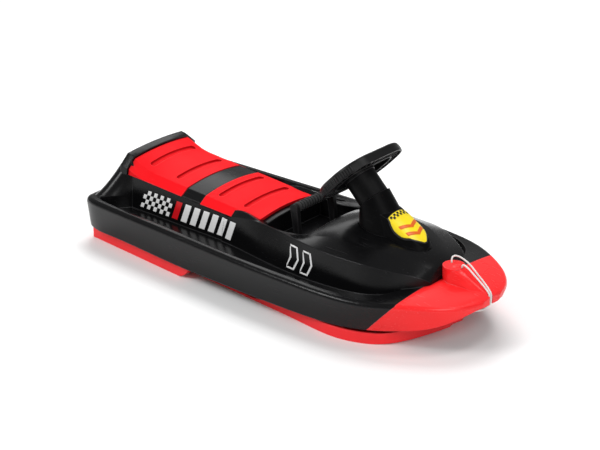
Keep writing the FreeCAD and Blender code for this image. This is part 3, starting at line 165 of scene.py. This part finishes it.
def moulded(name, colour, worn_and_highlit, shine, roughness, grain, depth, edge, run=scuff_run, hollow=None):
    """Moulded plastic: grained, a little cloudy, scuffed along its run and pale at its edges, as wear and
    painted highlight.

    Where a hollow's reach is given, grooves of that size get painted shade from ambient occlusion.
    """
    material, tree, shader = new_material(name, roughness)
    shader.inputs["Specular IOR Level"].default_value = shine
    place = place_on(tree)
    cells = put(tree, "ShaderNodeTexVoronoi", {"Scale": 1 / grain}, Vector=place).outputs["Distance"]
    cloud = noise(tree, place, cloud_scale, detail=4)
    scuffs = ramp(tree, noise(tree, stretched(tree, place, run), scale=1), scuff_span, to=(0, 1))
    bevel = put(tree, "ShaderNodeBevel", {"Radius": edge})
    bevel.samples = edge_samples
    turn = put(tree, "ShaderNodeVectorMath")
    turn.operation = "DOT_PRODUCT"
    tree.links.new(bevel.outputs["Normal"], turn.inputs[0])
    tree.links.new(put(tree, "ShaderNodeNewGeometry").outputs["Normal"], turn.inputs[1])
    # Painted highlight and wear: the edges turn pale where the bevel bends the normal.
    edges = figure(tree, "MULTIPLY", ramp(tree, turn.outputs["Value"], edge_span, to=(0, 1)), cloud)
    clouded = ramp(tree, cloud, cloud_span, to=(0, cloud_share))
    ground = mixed(tree, clouded, colour, toned(colour, cloud_tone))
    worn = mixed(tree, figure(tree, "MULTIPLY", scuffs, scuff_pale), ground, worn_and_highlit)
    finish = mixed(tree, edges, worn, worn_and_highlit)
    # Painted shade: grooves darkened by ambient occlusion.
    if hollow:
        shelter = put(tree, "ShaderNodeAmbientOcclusion", {"Distance": hollow})
        shelter.samples = groove_shade_samples
        soil_and_shade = ramp(tree, shelter.outputs["AO"], groove_shade_span, to=(groove_shade_share, 0))
        finish = mixed(tree, soil_and_shade, finish, toned(colour, groove_shade_tone))
    coloured(tree, shader, finish)
    gloss = ramp(tree, cloud, cloud_span, to=(roughness - gloss_spread, roughness + gloss_spread))
    glossed(tree, shader, figure(tree, "ADD", gloss, figure(tree, "MULTIPLY", scuffs, scuff_dull)))
    bumped(tree, shader, cells, grain_strength, depth, Normal=bevel.outputs["Normal"])
    return material


def finish_nodes(material, *names):
    """Give construction nodes their finish."""
    for name in names:
        materials = nodes[name].data.materials
        materials.clear()
        materials.append(material)


hull_plastic = moulded("black_hull_plastic", hull_black, hull_worn_and_highlit, black_shine, roughness=0.22,
                       grain=0.0011, depth=0.0001, edge=0.004)
finish_nodes(hull_plastic, "hull_shell")


# Steering carrier with its bushes, washer and screws
# A black ribbed beam across the hull holds the king post in two grey polymer bushes.
# Zinc plated screws go up through the hull's floor into the beam.
carrier_black = (0.012, 0.012, 0.013)
bush_grey = (0.36, 0.36, 0.34)
bush_tone = 0.8
zinc = (0.62, 0.63, 0.66)
zinc_tone = 0.7
screw_flow = (900, 900, 90)


def turned(name, colour, roughness, pitch):
    """Plain bearing polymer with the fine rings that a lathe leaves."""
    material, tree, shader = new_material(name, roughness)
    place = place_on(tree)
    rings = put(tree, "ShaderNodeTexWave", {"Scale": 1 / pitch, "Distortion": 0.4}, Vector=place)
    rings.bands_direction = "Z"
    cloud = ramp(tree, noise(tree, place, scale=60), span=(0.35, 0.65), to=(0, 1))
    coloured(tree, shader, mixed(tree, cloud, colour, toned(colour, bush_tone)))
    bumped(tree, shader, rings.outputs["Fac"], strength=0.2, depth=0.0001)
    return material


def plated(name, colour, roughness, flow):
    """Plated or bright steel: drawn marks along its flow and a clouded surface."""
    material, tree, shader = new_material(name, roughness)
    shader.inputs["Metallic"].default_value = 1
    place = place_on(tree)
    marks = noise(tree, stretched(tree, place, flow), scale=1, detail=4)
    cloud = ramp(tree, noise(tree, place, scale=120), span=(0.4, 0.7), to=(0, 1))
    coloured(tree, shader, mixed(tree, cloud, colour, toned(colour, zinc_tone)))
    glossed(tree, shader, ramp(tree, marks, span=(0.3, 0.7), to=(roughness - 0.1, roughness + 0.15)))
    bumped(tree, shader, marks, strength=0.15, depth=0.0001)
    return material


carrier_plastic = moulded("black_carrier_plastic", carrier_black, hull_worn_and_highlit, black_shine, roughness=0.5,
                          grain=0.0009, depth=0.0001, edge=0.0015)
finish_nodes(carrier_plastic, "steering_carrier")
bush_polymer = turned("grey_bush_polymer", bush_grey, roughness=0.42, pitch=0.0006)
finish_nodes(bush_polymer, "post_bush_lower", "post_bush_upper", "thrust_washer")
screw_zinc = plated("zinc_plated_screw", zinc, roughness=0.32, flow=screw_flow)
finish_nodes(screw_zinc, "carrier_screws")


# Front ski with its king post and bolts
# A wide red polyethylene ski with a raised edge, ribs and a hub that the steel post is bolted to.
# Its sole is streaked from tail to tip by packed snow and grit.
ski_red = (0.97, 0.024, 0.030)
# Pale edges and scuffs: wear, with the edges also a painted highlight.
ski_worn_and_highlit = (0.95, 0.07, 0.08)
red_shine = 0.3
sole_run = (5, 320, 320)
post_flow = (60, 60, 700)
ski_plastic = moulded("red_ski_plastic", ski_red, ski_worn_and_highlit, red_shine, roughness=0.34,
                      grain=0.0012, depth=0.0001, edge=0.003, run=sole_run)
finish_nodes(ski_plastic, "steering_ski")
finish_nodes(plated("zinc_plated_post", zinc, roughness=0.38, flow=post_flow), "king_post")
finish_nodes(screw_zinc, "ski_bolts")


# Steering shaft with its bushes and cross pin
# A drawn steel bar runs down the tower in two polymer bushes.
# A hardened pin through its foot turns the fork of the king post.
shaft_steel = (0.56, 0.57, 0.58)
shaft_flow = (700, 700, 700)
cross_flow = (900, 60, 900)
finish_nodes(plated("drawn_shaft_steel", shaft_steel, roughness=0.28, flow=shaft_flow), "steering_shaft")
finish_nodes(plated("ground_pin_steel", shaft_steel, roughness=0.2, flow=cross_flow), "cross_pin")
finish_nodes(bush_polymer, "shaft_bush_upper", "shaft_bush_lower")


# Tower on the cowl
# A black moulded housing with a round neck for the sleeve and a pointed fairing in front.
# It is duller than the hull, and screwed on from under the cowl.
tower_black = (0.0026, 0.0026, 0.0029)
tower_shine = 0.05
tower_plastic = moulded("black_tower_plastic", tower_black, hull_worn_and_highlit, tower_shine, roughness=0.4,
                        grain=0.0010, depth=0.00014, edge=0.003)
finish_nodes(tower_plastic, "steering_housing")
finish_nodes(screw_zinc, "housing_screws")


# Sleeve, wheel, nut and cap
# The sleeve and the wheel are black plastic with a fine matt grain, and turn as one.
# A nut holds the wheel on the shaft, under a pressed-in cap, and ribs on the rim give the hands a hold.
wheel_black = (0.0030, 0.0030, 0.0033)
# Pale edges: wear and a painted highlight.
wheel_worn_and_highlit = (0.050, 0.050, 0.052)
wheel_shine = 0.32
sleeve_shine = 0.12
# The ribs are a lighter black than the wheel, a painted highlight; their pale edges are wear and painted
# highlight.
rib_highlit_black = (0.020, 0.020, 0.021)
rib_worn_and_highlit = (0.140, 0.140, 0.142)
column_lean = math.radians(46)
column_axis = Vector((-math.sin(column_lean), 0, math.cos(column_lean)))
column_front = Vector((math.cos(column_lean), 0, math.sin(column_lean)))
column_foot = Vector((0.235312, 0, 0.291))
wheel_offset = 0.015
wheel_middle = column_foot + column_front * wheel_offset
rib_low = 0.0692
rib_high = 0.0846
rib_middle = (rib_low + rib_high) / 2
rib_count = 22
rib_turn = math.radians(54)
rib_step = math.radians(3.4)
rib_half = 0.0014
rib_crown = 0.4
rib_lift = 0.0012
rib_end_share = 0.5
rib_sink = 0.0006


def new_piece(name, bm, material):
    """A mesh object from a bmesh, smooth shaded."""
    for face in bm.faces:
        face.smooth = True
    mesh = bpy.data.meshes.new(name)
    bm.to_mesh(mesh)
    bm.free()
    mesh.materials.append(material)
    piece = bpy.data.objects.new(name, mesh)
    bpy.context.scene.collection.objects.link(piece)
    return piece


def surface_of(name):
    """A construction node's surface, to find places on it."""
    source = nodes[name].data
    return BVHTree.FromPolygons([v.co for v in source.vertices], [p.vertices for p in source.polygons])


def skin(bm, rings):
    """Faces between closed rings of points, and over the first and the last."""
    sides = len(rings[0])
    for first, second in zip(rings, rings[1:]):
        for step in range(sides):
            after = (step + 1) % sides
            bm.faces.new((first[step], first[after], second[after], second[step]))
    bm.faces.new(reversed(rings[0]))
    bm.faces.new(rings[-1])


def grip_ribs(name, side):
    """Fine ribs up the outside of the wheel's rim, where one hand holds it."""
    surface = surface_of("steering_wheel")
    bm = bmesh.new()
    for count in range(rib_count):
        turn = rib_turn + rib_step * count
        out = column_front * math.cos(turn) + Vector((0, side * math.sin(turn), 0))
        wide = column_axis.cross(out) * rib_half
        rings = []
        for rise, share in ((rib_low, rib_end_share), (rib_middle, 1), (rib_high, rib_end_share)):
            start = wheel_middle + column_axis * rise + out
            place, normal = surface.ray_cast(start, -out)[:2]
            foot = place - normal * rib_sink
            crown = place + normal * rib_lift * share
            corners = (foot - wide, crown - wide * rib_crown, crown + wide * rib_crown, foot + wide)
            rings.append([bm.verts.new(corner) for corner in corners])
        skin(bm, rings)
    bmesh.ops.recalc_face_normals(bm, faces=bm.faces)
    ribs = new_piece(name, bm, rib_plastic)
    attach(ribs, "column")


for name, shine, roughness, grain in (
        ("hub_sleeve", sleeve_shine, 0.44, 0.0009),
        ("steering_wheel", wheel_shine, 0.36, 0.0008),
        ("wheel_cap", sleeve_shine, 0.36, 0.0007)):
    plastic = moulded("black_plastic_" + name, wheel_black, wheel_worn_and_highlit, shine, roughness, grain,
                      depth=0.00013, edge=0.0015)
    finish_nodes(plastic, name)
finish_nodes(screw_zinc, "wheel_nut")
rib_plastic = moulded("black_rib_plastic", rib_highlit_black, rib_worn_and_highlit, wheel_shine, roughness=0.36,
                      grain=0.0008, depth=0.00005, edge=0.0005)
grip_ribs("wheel_ribs_left", 1)
grip_ribs("wheel_ribs_right", -1)


# Brake
# A black U-shaped bail with a notched rubber grip turns on a steel rod in the hand recess.
# A toothed steel claw is bolted to its arms under the hull, and a wound spring lifts the claw again.
bail_black = (0.007, 0.007, 0.0075)
# Pale edges on bail and grip: wear and a painted highlight. The grip's notches get painted shade.
bail_worn_and_highlit = (0.060, 0.060, 0.062)
grip_black = (0.034, 0.034, 0.035)
grip_worn_and_highlit = (0.22, 0.22, 0.22)
grip_notch = 0.006
claw_flow = (90, 600, 90)
spring_steel = (0.38, 0.38, 0.40)
spring_flow = (500, 500, 500)
bail_plastic = moulded("black_bail_plastic", bail_black, bail_worn_and_highlit, black_shine, roughness=0.42,
                       grain=0.0008, depth=0.0001, edge=0.002)
finish_nodes(bail_plastic, "brake_lever")
grip_rubber = moulded("black_grip_rubber", grip_black, grip_worn_and_highlit, black_shine, roughness=0.5,
                      grain=0.0005, depth=0.00008, edge=0.0010, hollow=grip_notch)
finish_nodes(grip_rubber, "brake_grip")
finish_nodes(plated("drawn_axle_steel", shaft_steel, roughness=0.28, flow=cross_flow), "brake_axle")
finish_nodes(plated("pressed_claw_steel", zinc, roughness=0.36, flow=claw_flow), "brake_claw")
finish_nodes(screw_zinc, "claw_bolts")
# The wire is a copy of the construction node.
spring = bpy.data.objects.new("return_spring_wire", nodes["brake_return_spring"].data.copy())
bpy.context.scene.collection.objects.link(spring)
spring.data.materials.clear()
spring.data.materials.append(plated("spring_wire_steel", spring_steel, roughness=0.3, flow=spring_flow))
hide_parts("brake_return_spring")
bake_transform(spring)


# Rear runners
# Two red channel-shaped runners, moulded in the same plastic as the ski.
# They are screwed on from inside the hull, and streaked along their soles.
runner_plastic = moulded("red_runner_plastic", ski_red, ski_worn_and_highlit, red_shine, roughness=0.36,
                         grain=0.0012, depth=0.0001, edge=0.003, run=sole_run)
finish_nodes(runner_plastic, "rear_runner_left", "rear_runner_right")
finish_nodes(screw_zinc, "runner_screws")


# Seat pads
# Two firm inserts, moulded in red with cross grooves and a finely grained, duller top face.
# They lie in shallow beds of the seat between the back lip, the divider and the brake recess.
pad_red = (0.85, 0.006, 0.011)
# Pale edges: wear and a painted highlight. The grooves get painted shade.
pad_worn_and_highlit = (0.90, 0.085, 0.095)
pad_shine = 0.07
groove_reach = 0.016
pad_plastic = moulded("red_pad_plastic", pad_red, pad_worn_and_highlit, pad_shine, roughness=0.46,
                      grain=0.0014, depth=0.00014, edge=0.0025, hollow=groove_reach)
finish_nodes(pad_plastic, "seat_pad_rear", "seat_pad_front")


# Nose bumper
# A red moulded cap over the nose with a raised tongue and a notch for the rope.
# It is glossier than the ski, and screwed on from below.
bumper_red = (0.97, 0.020, 0.022)
# Pale edges and scuffs: wear, with the edges also a painted highlight.
bumper_worn_and_highlit = (0.97, 0.10, 0.11)
bumper_plastic = moulded("red_bumper_plastic", bumper_red, bumper_worn_and_highlit, red_shine, roughness=0.24,
                         grain=0.0012, depth=0.0001, edge=0.003)
finish_nodes(bumper_plastic, "nose_bumper")
finish_nodes(screw_zinc, "bumper_screws")


# Tow rope
# A thin white rope of three laid strands, knotted inside the tongue at both ends.
# It runs over the nose, round a peg under the lip and back again.
rope_white = (0.80, 0.80, 0.78)
rope_soiled = (0.62, 0.61, 0.58)
rope_radius = 0.0025
rope_lay = 0.016
rope_steps = 12
strand_count = 3
strand_radius = 0.00125
strand_sides = 7
knot_scale = 0.0012
knot_radius = 0.0018
knot_steps = 60
knot_sides = 8
rope_route = [
    (0.5208, 0, 0.174), (0.5207, 0.0001, 0.181), (0.5209, 0, 0.1885), (0.5275, -0.001, 0.194),
    (0.541, -0.001, 0.189), (0.561, 0, 0.1745), (0.582, 0.001, 0.159), (0.6, -0.001, 0.148),
    (0.612, -0.0032, 0.139), (0.6125, -0.0035, 0.124), (0.61, -0.0036, 0.108), (0.6035, -0.013, 0.0985),
    (0.5935, -0.028, 0.0965), (0.585, -0.0405, 0.097), (0.5745, -0.0465, 0.0973), (0.5625, -0.0385, 0.0976),
    (0.5655, -0.0255, 0.098), (0.578, -0.0195, 0.098), (0.592, -0.0115, 0.097), (0.6055, -0.001, 0.1),
    (0.6115, 0.0032, 0.111), (0.6125, 0.0034, 0.125), (0.612, 0.0036, 0.139), (0.6, 0.007, 0.148),
    (0.581, 0.013, 0.1575), (0.557, 0.018, 0.17), (0.532, 0.0225, 0.1855), (0.509, 0.0265, 0.1925),
    (0.491, 0.028, 0.1955), (0.4805, 0.0245, 0.1965), (0.4785, 0.0155, 0.1955), (0.482, 0.0082, 0.1905),
    (0.4822, 0.008, 0.182), (0.4821, 0.0081, 0.174),
]


def spline_points(route, steps):
    """Points along the smooth line that a route's points control."""
    line = bpy.data.curves.new("route", "CURVE")
    line.dimensions = "3D"
    line.resolution_u = steps
    spline = line.splines.new("NURBS")
    spline.points.add(len(route) - 1)
    for point, place in zip(spline.points, route):
        point.co = (*place, 1)
    spline.order_u = 3
    spline.use_endpoint_u = True
    carrier = bpy.data.objects.new("route", line)
    mesh = bpy.data.meshes.new_from_object(carrier)
    found = [vertex.co.copy() for vertex in mesh.vertices]
    bpy.data.objects.remove(carrier)
    bpy.data.meshes.remove(mesh)
    return found


def sides_along(centres):
    """Two square directions across a line at each of its points, carried on without twist."""
    pairs = []
    side = None
    for count in range(len(centres)):
        before = centres[max(count - 1, 0)]
        after = centres[min(count + 1, len(centres) - 1)]
        along = (after - before).normalized()
        side = along.orthogonal() if side is None else side - along * side.dot(along)
        side.normalize()
        pairs.append((side, along.cross(side)))
    return pairs


def off_line(centre, pair, turn, radius):
    """The point at a turn and a radius round a line's point."""
    return centre + (pair[0] * math.cos(turn) + pair[1] * math.sin(turn)) * radius


def add_tube(bm, centres, radius, sides):
    """A round tube along centres, closed at its ends."""
    turns = [math.tau * step / sides for step in range(sides)]
    rings = []
    for centre, pair in zip(centres, sides_along(centres)):
        rings.append([bm.verts.new(off_line(centre, pair, turn, radius)) for turn in turns])
    skin(bm, rings)


def strand_line(number):
    """The line of one strand, wound round the rope's line."""
    points = []
    travelled = 0.0
    before = rope_line[0]
    for centre, pair in zip(rope_line, sides_along(rope_line)):
        travelled += (centre - before).length
        before = centre
        turn = math.tau * (travelled / rope_lay + number / strand_count)
        points.append(off_line(centre, pair, turn, rope_radius - strand_radius))
    return points


def knot_line(end):
    """A small overhand knot, drawn as a trefoil round the rope's end."""
    points = []
    for step in range(knot_steps):
        t = math.tau * step / (knot_steps - 1)
        form = (math.sin(t) + 2 * math.sin(2 * t), math.cos(t) - 2 * math.cos(2 * t), -math.sin(3 * t))
        points.append(end + Vector(form) * knot_scale)
    return points


def fibre(name):
    """White fibre: fine filaments and a little soil in the lay."""
    material, tree, shader = new_material(name, roughness=0.8)
    place = place_on(tree)
    filaments = noise(tree, place, scale=2600)
    soil_and_shade = ramp(tree, noise(tree, place, scale=90), span=(0.45, 0.75), to=(0, 0.5))
    coloured(tree, shader, mixed(tree, soil_and_shade, rope_white, rope_soiled))
    bumped(tree, shader, filaments, strength=0.4, depth=0.0002)
    return material


rope_line = spline_points(rope_route, rope_steps)
rope_fibre = fibre("white_rope_fibre")
rope_mesh = bmesh.new()
for number in range(strand_count):
    add_tube(rope_mesh, strand_line(number), strand_radius, strand_sides)
rope = new_piece("tow_rope_laid", rope_mesh, rope_fibre)
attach(rope, "hull")
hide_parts("tow_rope")
for name, end in (("rope_knot_front", rope_line[0]), ("rope_knot_rear", rope_line[-1])):
    knot_mesh = bmesh.new()
    add_tube(knot_mesh, knot_line(end), knot_radius, knot_sides)
    knot = new_piece(name, knot_mesh, rope_fibre)
    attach(knot, "hull")


# Printed film on the walls
# Thin printed vinyl, stuck on both walls beside the seat once the hull is moulded.
# It shows a chequer band, one red and six white slanted bars, and two outlined chevrons.
vinyl_white = (0.95, 0.95, 0.95)
vinyl_red = (0.80, 0.005, 0.012)
vinyl_tone = 0.88
wall_gloss = 0.34
vinyl_lift = 0.0002
vinyl_film = 0.00012
vinyl_layer = 0.0004
vinyl_cell = 0.0015
vinyl_join = 0.00005
wall_ray = 0.2
wall_low = 0.107
wall_high = 0.158
chequer_rows = 4
chequer_columns = 9
chequer_start = -0.478
chequer_stop = -0.372
bar_start = -0.361
bar_step = 0.033
bar_width = 0.021
bar_count = 7
bar_lean = 0.014
chevron_places = (0.081, 0.131)
chevron_low = 0.109
chevron_high = 0.169
chevron_point = 0.012
chevron_arm = 0.028
chevron_line = 0.0045
chevron_slant = 0.0063


def vinyl(name, colour, roughness):
    """Printed film with a soft gloss, faint specks and a little fading."""
    material, tree, shader = new_material(name, roughness)
    place = place_on(tree)
    specks = noise(tree, place, scale=500)
    cloud = noise(tree, place, scale=25, detail=4)
    faded = ramp(tree, cloud, span=(0.35, 0.7), to=(0, 0.6))
    coloured(tree, shader, mixed(tree, faded, colour, toned(colour, vinyl_tone)))
    glossed(tree, shader, ramp(tree, specks, span=(0.3, 0.7), to=(roughness - 0.06, roughness + 0.1)))
    bumped(tree, shader, specks, strength=0.08, depth=0.0001)
    return material


def add_patch(bm, corners, across):
    """A four-cornered patch of small cells on the flat, its cells across counted or set."""
    a, b, c, d = (Vector(pair) for pair in corners)
    across = across or max(1, round(max((b - a).length, (c - d).length) / vinyl_cell))
    up = max(1, round(max((d - a).length, (c - b).length) / vinyl_cell))
    grid = []
    for row in range(up + 1):
        start = a.lerp(d, row / up)
        stop = b.lerp(c, row / up)
        grid.append([bm.verts.new((*start.lerp(stop, step / across), 0)) for step in range(across + 1)])
    for lower, upper in zip(grid, grid[1:]):
        for step in range(across):
            bm.faces.new((lower[step], lower[step + 1], upper[step + 1], upper[step]))


def lay_on(name, patches, material, carrier, spot, look, layer=0, across=None):
    """Lay patches on a construction node.

    The spot turns a flat point into a place outside the node, and the look is the way from there in.
    """
    bm = bmesh.new()
    for corners in patches:
        add_patch(bm, corners, across)
    bmesh.ops.remove_doubles(bm, verts=bm.verts, dist=vinyl_join)
    surface = surface_of(carrier)
    for vert in bm.verts:
        place, normal = surface.ray_cast(spot(vert.co.x, vert.co.y), look)[:2]
        vert.co = place + normal * (vinyl_lift + vinyl_layer * layer)
    bmesh.ops.recalc_face_normals(bm, faces=bm.faces)
    if next(iter(bm.faces)).normal.dot(look) > 0:
        bmesh.ops.reverse_faces(bm, faces=bm.faces)
    piece = new_piece(name, bm, material)
    film = piece.modifiers.new("film", "SOLIDIFY")
    film.thickness = vinyl_film
    film.offset = 1
    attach(piece, "hull")


def slanted(start, width, low, high, lean):
    """Corners of a bar that leans forward."""
    return [(start, low), (start + width, low), (start + width + lean, high), (start + lean, high)]


def chequers():
    """Every second square of the band."""
    tall = (wall_high - wall_low) / chequer_rows
    wide = (chequer_stop - chequer_start) / chequer_columns
    squares = []
    for row in range(chequer_rows):
        for column in range(row % 2, chequer_columns, 2):
            low = wall_low + row * tall
            start = chequer_start + column * wide + bar_lean * row / chequer_rows
            squares.append(slanted(start, wide, low, low + tall, bar_lean / chequer_rows))
    return squares


def slanted_bars():
    """The row of bars ahead of the band."""
    starts = [bar_start + bar_step * count for count in range(bar_count)]
    return [slanted(start, bar_width, wall_low, wall_high, bar_lean) for start in starts]


def chevron(start):
    """Outline of an arrow head that points to the nose."""
    tip = (chevron_low + chevron_high) / 2
    tail = start + chevron_point
    far_start = start + chevron_arm
    far_tail = tail + chevron_arm
    shapes = []
    for foot, inward in ((chevron_low, chevron_line), (chevron_high, -chevron_line)):
        shapes.append([(start, foot), (tail, tip), (tail - chevron_slant, tip), (start, foot + 2 * inward)])
        shapes.append([(far_start, foot), (far_tail, tip), (far_tail - chevron_slant, tip),
                       (far_start - chevron_slant, foot)])
        shapes.append([(start, foot), (far_start, foot), (far_start - chevron_slant / 2, foot + inward),
                       (start + chevron_slant / 2, foot + inward)])
    return shapes


def wall_spot(side):
    """Places outside one wall for points of its print."""
    return lambda along, up: Vector((along, side * wall_ray, up))


white_film = vinyl("white_vinyl", vinyl_white, wall_gloss)
red_film = vinyl("red_vinyl", vinyl_red, wall_gloss)
bars = slanted_bars()
outlines = [shape for start in chevron_places for shape in chevron(start)]
for side_name, side in (("left", 1), ("right", -1)):
    for name, patches, film in (
            ("chequer_band_", chequers(), white_film),
            ("red_bar_", bars[:1], red_film),
            ("white_bars_", bars[1:], white_film),
            ("chevrons_", outlines, white_film)):
        lay_on(name + side_name, patches, film, "hull_shell", wall_spot(side), Vector((0, -side, 0)))


# Printed shield on the fairing
# A shield of the same film, yellow with a black border, stuck on the front of the tower.
# Two orange chevrons and two rows of black squares lie over it, each a layer higher.
vinyl_yellow = (0.96, 0.74, 0.01)
vinyl_orange = (0.75, 0.13, 0.006)
vinyl_black = (0.01, 0.01, 0.01)
shield_gloss = 0.32
roof_ray = 0.4
shield_rear = 0.306
shield_front = 0.406
shield_half = 0.042
shield_top = 0.84
shield_broad = 0.3
shield_taper = 2.6
shield_tip = 0.14
shield_strips = 24
shield_cells = 56
shield_edge = 0.0022
arrow_shares = (0.34, 0.56)
arrow_reach = 0.86
arrow_depth = 0.014
arrow_width = 0.009
square_rows = 2
square_size = 0.006


def shield_share(along):
    """Width of the shield at a share of its length, as a share of its broadest."""
    if along < shield_broad:
        return shield_top + (1 - shield_top) * math.sin(math.pi / 2 * along / shield_broad)
    return 1 - (1 - shield_tip) * ((along - shield_broad) / (1 - shield_broad)) ** shield_taper


def shield_rows(inset):
    """Places along the shield with its half width there, drawn in by an inset."""
    rows = []
    for step in range(shield_strips + 1):
        along = step / shield_strips
        place = shield_rear + inset + along * (shield_front - shield_rear - 2 * inset)
        rows.append((place, shield_share(along) * shield_half - inset))
    return rows


def shield_patches(inset):
    """The whole face of the shield in strips across it."""
    rows = shield_rows(inset)
    return [[(x0, -y0), (x0, y0), (x1, y1), (x1, -y1)] for (x0, y0), (x1, y1) in zip(rows, rows[1:])]


def half_at(rows, place):
    """Half width of the shield at a place along it."""
    for (x0, y0), (x1, y1) in zip(rows, rows[1:]):
        if x0 <= place <= x1:
            return y0 + (y1 - y0) * (place - x0) / (x1 - x0)


def arrow_patches():
    """Chevrons across the shield that point to the nose."""
    rows = shield_rows(2 * shield_edge)
    patches = []
    for share in arrow_shares:
        start = shield_rear + share * (shield_front - shield_rear)
        front = start + arrow_depth
        half = half_at(rows, start) * arrow_reach
        for end in (-half, half):
            patches.append([(start, end), (start + arrow_width, end), (front + arrow_width, 0), (front, 0)])
    return patches


def square_patches():
    """Every second square of the rows along the shield's upper edge."""
    top, half = shield_rows(2 * shield_edge)[0]
    count = round(2 * half / square_size)
    wide = 2 * half / count
    patches = []
    for row in range(square_rows):
        start = top + row * square_size
        stop = start + square_size
        for column in range(row % 2, count, 2):
            low = -half + column * wide
            patches.append([(start, low), (start, low + wide), (stop, low + wide), (stop, low)])
    return patches


def roof_spot(along, across):
    """The place over the fairing for a point of its print."""
    return Vector((along, across, roof_ray))


yellow_film = vinyl("yellow_vinyl", vinyl_yellow, shield_gloss)
orange_film = vinyl("orange_vinyl", vinyl_orange, shield_gloss)
black_film = vinyl("black_vinyl", vinyl_black, shield_gloss)
for layer, (name, patches, film, across) in enumerate((
        ("shield_border", shield_patches(0), black_film, shield_cells),
        ("shield_face", shield_patches(shield_edge), yellow_film, shield_cells),
        ("shield_arrows", arrow_patches(), orange_film, None),
        ("shield_squares", square_patches(), black_film, None))):
    lay_on(name, patches, film, "steering_housing", roof_spot, Vector((0, 0, -1)), layer, across)


# Studio
# A plain pale floor, a white surround and large soft boxes round the sled.
# The camera stands where the photograph was taken, with a long lens.
world_strength = 0.3
floor_half = 15.0
floor_shade = 0.93
camera_turn = math.radians(41)
camera_rise = math.radians(24.2)
camera_reach = 6.684
camera_target = Vector((-0.060, 0.049, 0.113))
camera_lens = 150
camera_sensor = 36


def soft_light(name, place, size, power, mirrored):
    """A square soft box aimed at the sled, seen in glossy faces or screened from them."""
    lamp = bpy.data.lights.new(name, "AREA")
    lamp.size = size
    lamp.energy = power
    light = bpy.data.objects.new(name, lamp)
    light.location = place
    light.visible_glossy = mirrored
    light.rotation_euler = (camera_target - Vector(place)).to_track_quat("-Z", "Y").to_euler()
    bpy.context.scene.collection.objects.link(light)


world = bpy.data.worlds.new("studio")
world.use_nodes = True
surround = world.node_tree.nodes["Background"]
surround.inputs["Color"].default_value = (1, 1, 1, 1)
surround.inputs["Strength"].default_value = world_strength
bpy.context.scene.world = world
floor_mesh = bmesh.new()
bmesh.ops.create_grid(floor_mesh, x_segments=1, y_segments=1, size=floor_half)
floor_paint, _, floor_shader = new_material("pale_floor", roughness=0.9)
floor_shader.inputs["Base Color"].default_value = (floor_shade, floor_shade, floor_shade, 1)
new_piece("studio_floor", floor_mesh, floor_paint)
# The top box is screened from glossy faces, so that the black plastic stays dark.
soft_light("key_box", place=(-1.5, -2.6, 2.8), size=1.4, power=62, mirrored=True)
soft_light("fill_box", place=(2.8, -1.4, 2.0), size=1.6, power=40, mirrored=True)
soft_light("top_box", place=(-1.0, 1.5, 2.9), size=2.2, power=84, mirrored=False)
soft_light("rim_box", place=(-2.7, 2.2, 2.6), size=1.6, power=15, mirrored=True)
soft_light("nose_box", place=(1.1, 0.45, 2.4), size=0.6, power=9, mirrored=True)
view = Vector((math.sin(camera_turn) * math.cos(camera_rise),
               -math.cos(camera_turn) * math.cos(camera_rise), math.sin(camera_rise)))
camera_data = bpy.data.cameras.new("camera")
camera_data.lens = camera_lens
camera_data.sensor_width = camera_sensor
camera = bpy.data.objects.new("camera", camera_data)
camera.location = camera_target + view * camera_reach
camera.rotation_euler = (-view).to_track_quat("-Z", "Y").to_euler()
bpy.context.scene.collection.objects.link(camera)
bpy.context.scene.camera = camera
bpy.context.scene.view_settings.view_transform = "Standard"
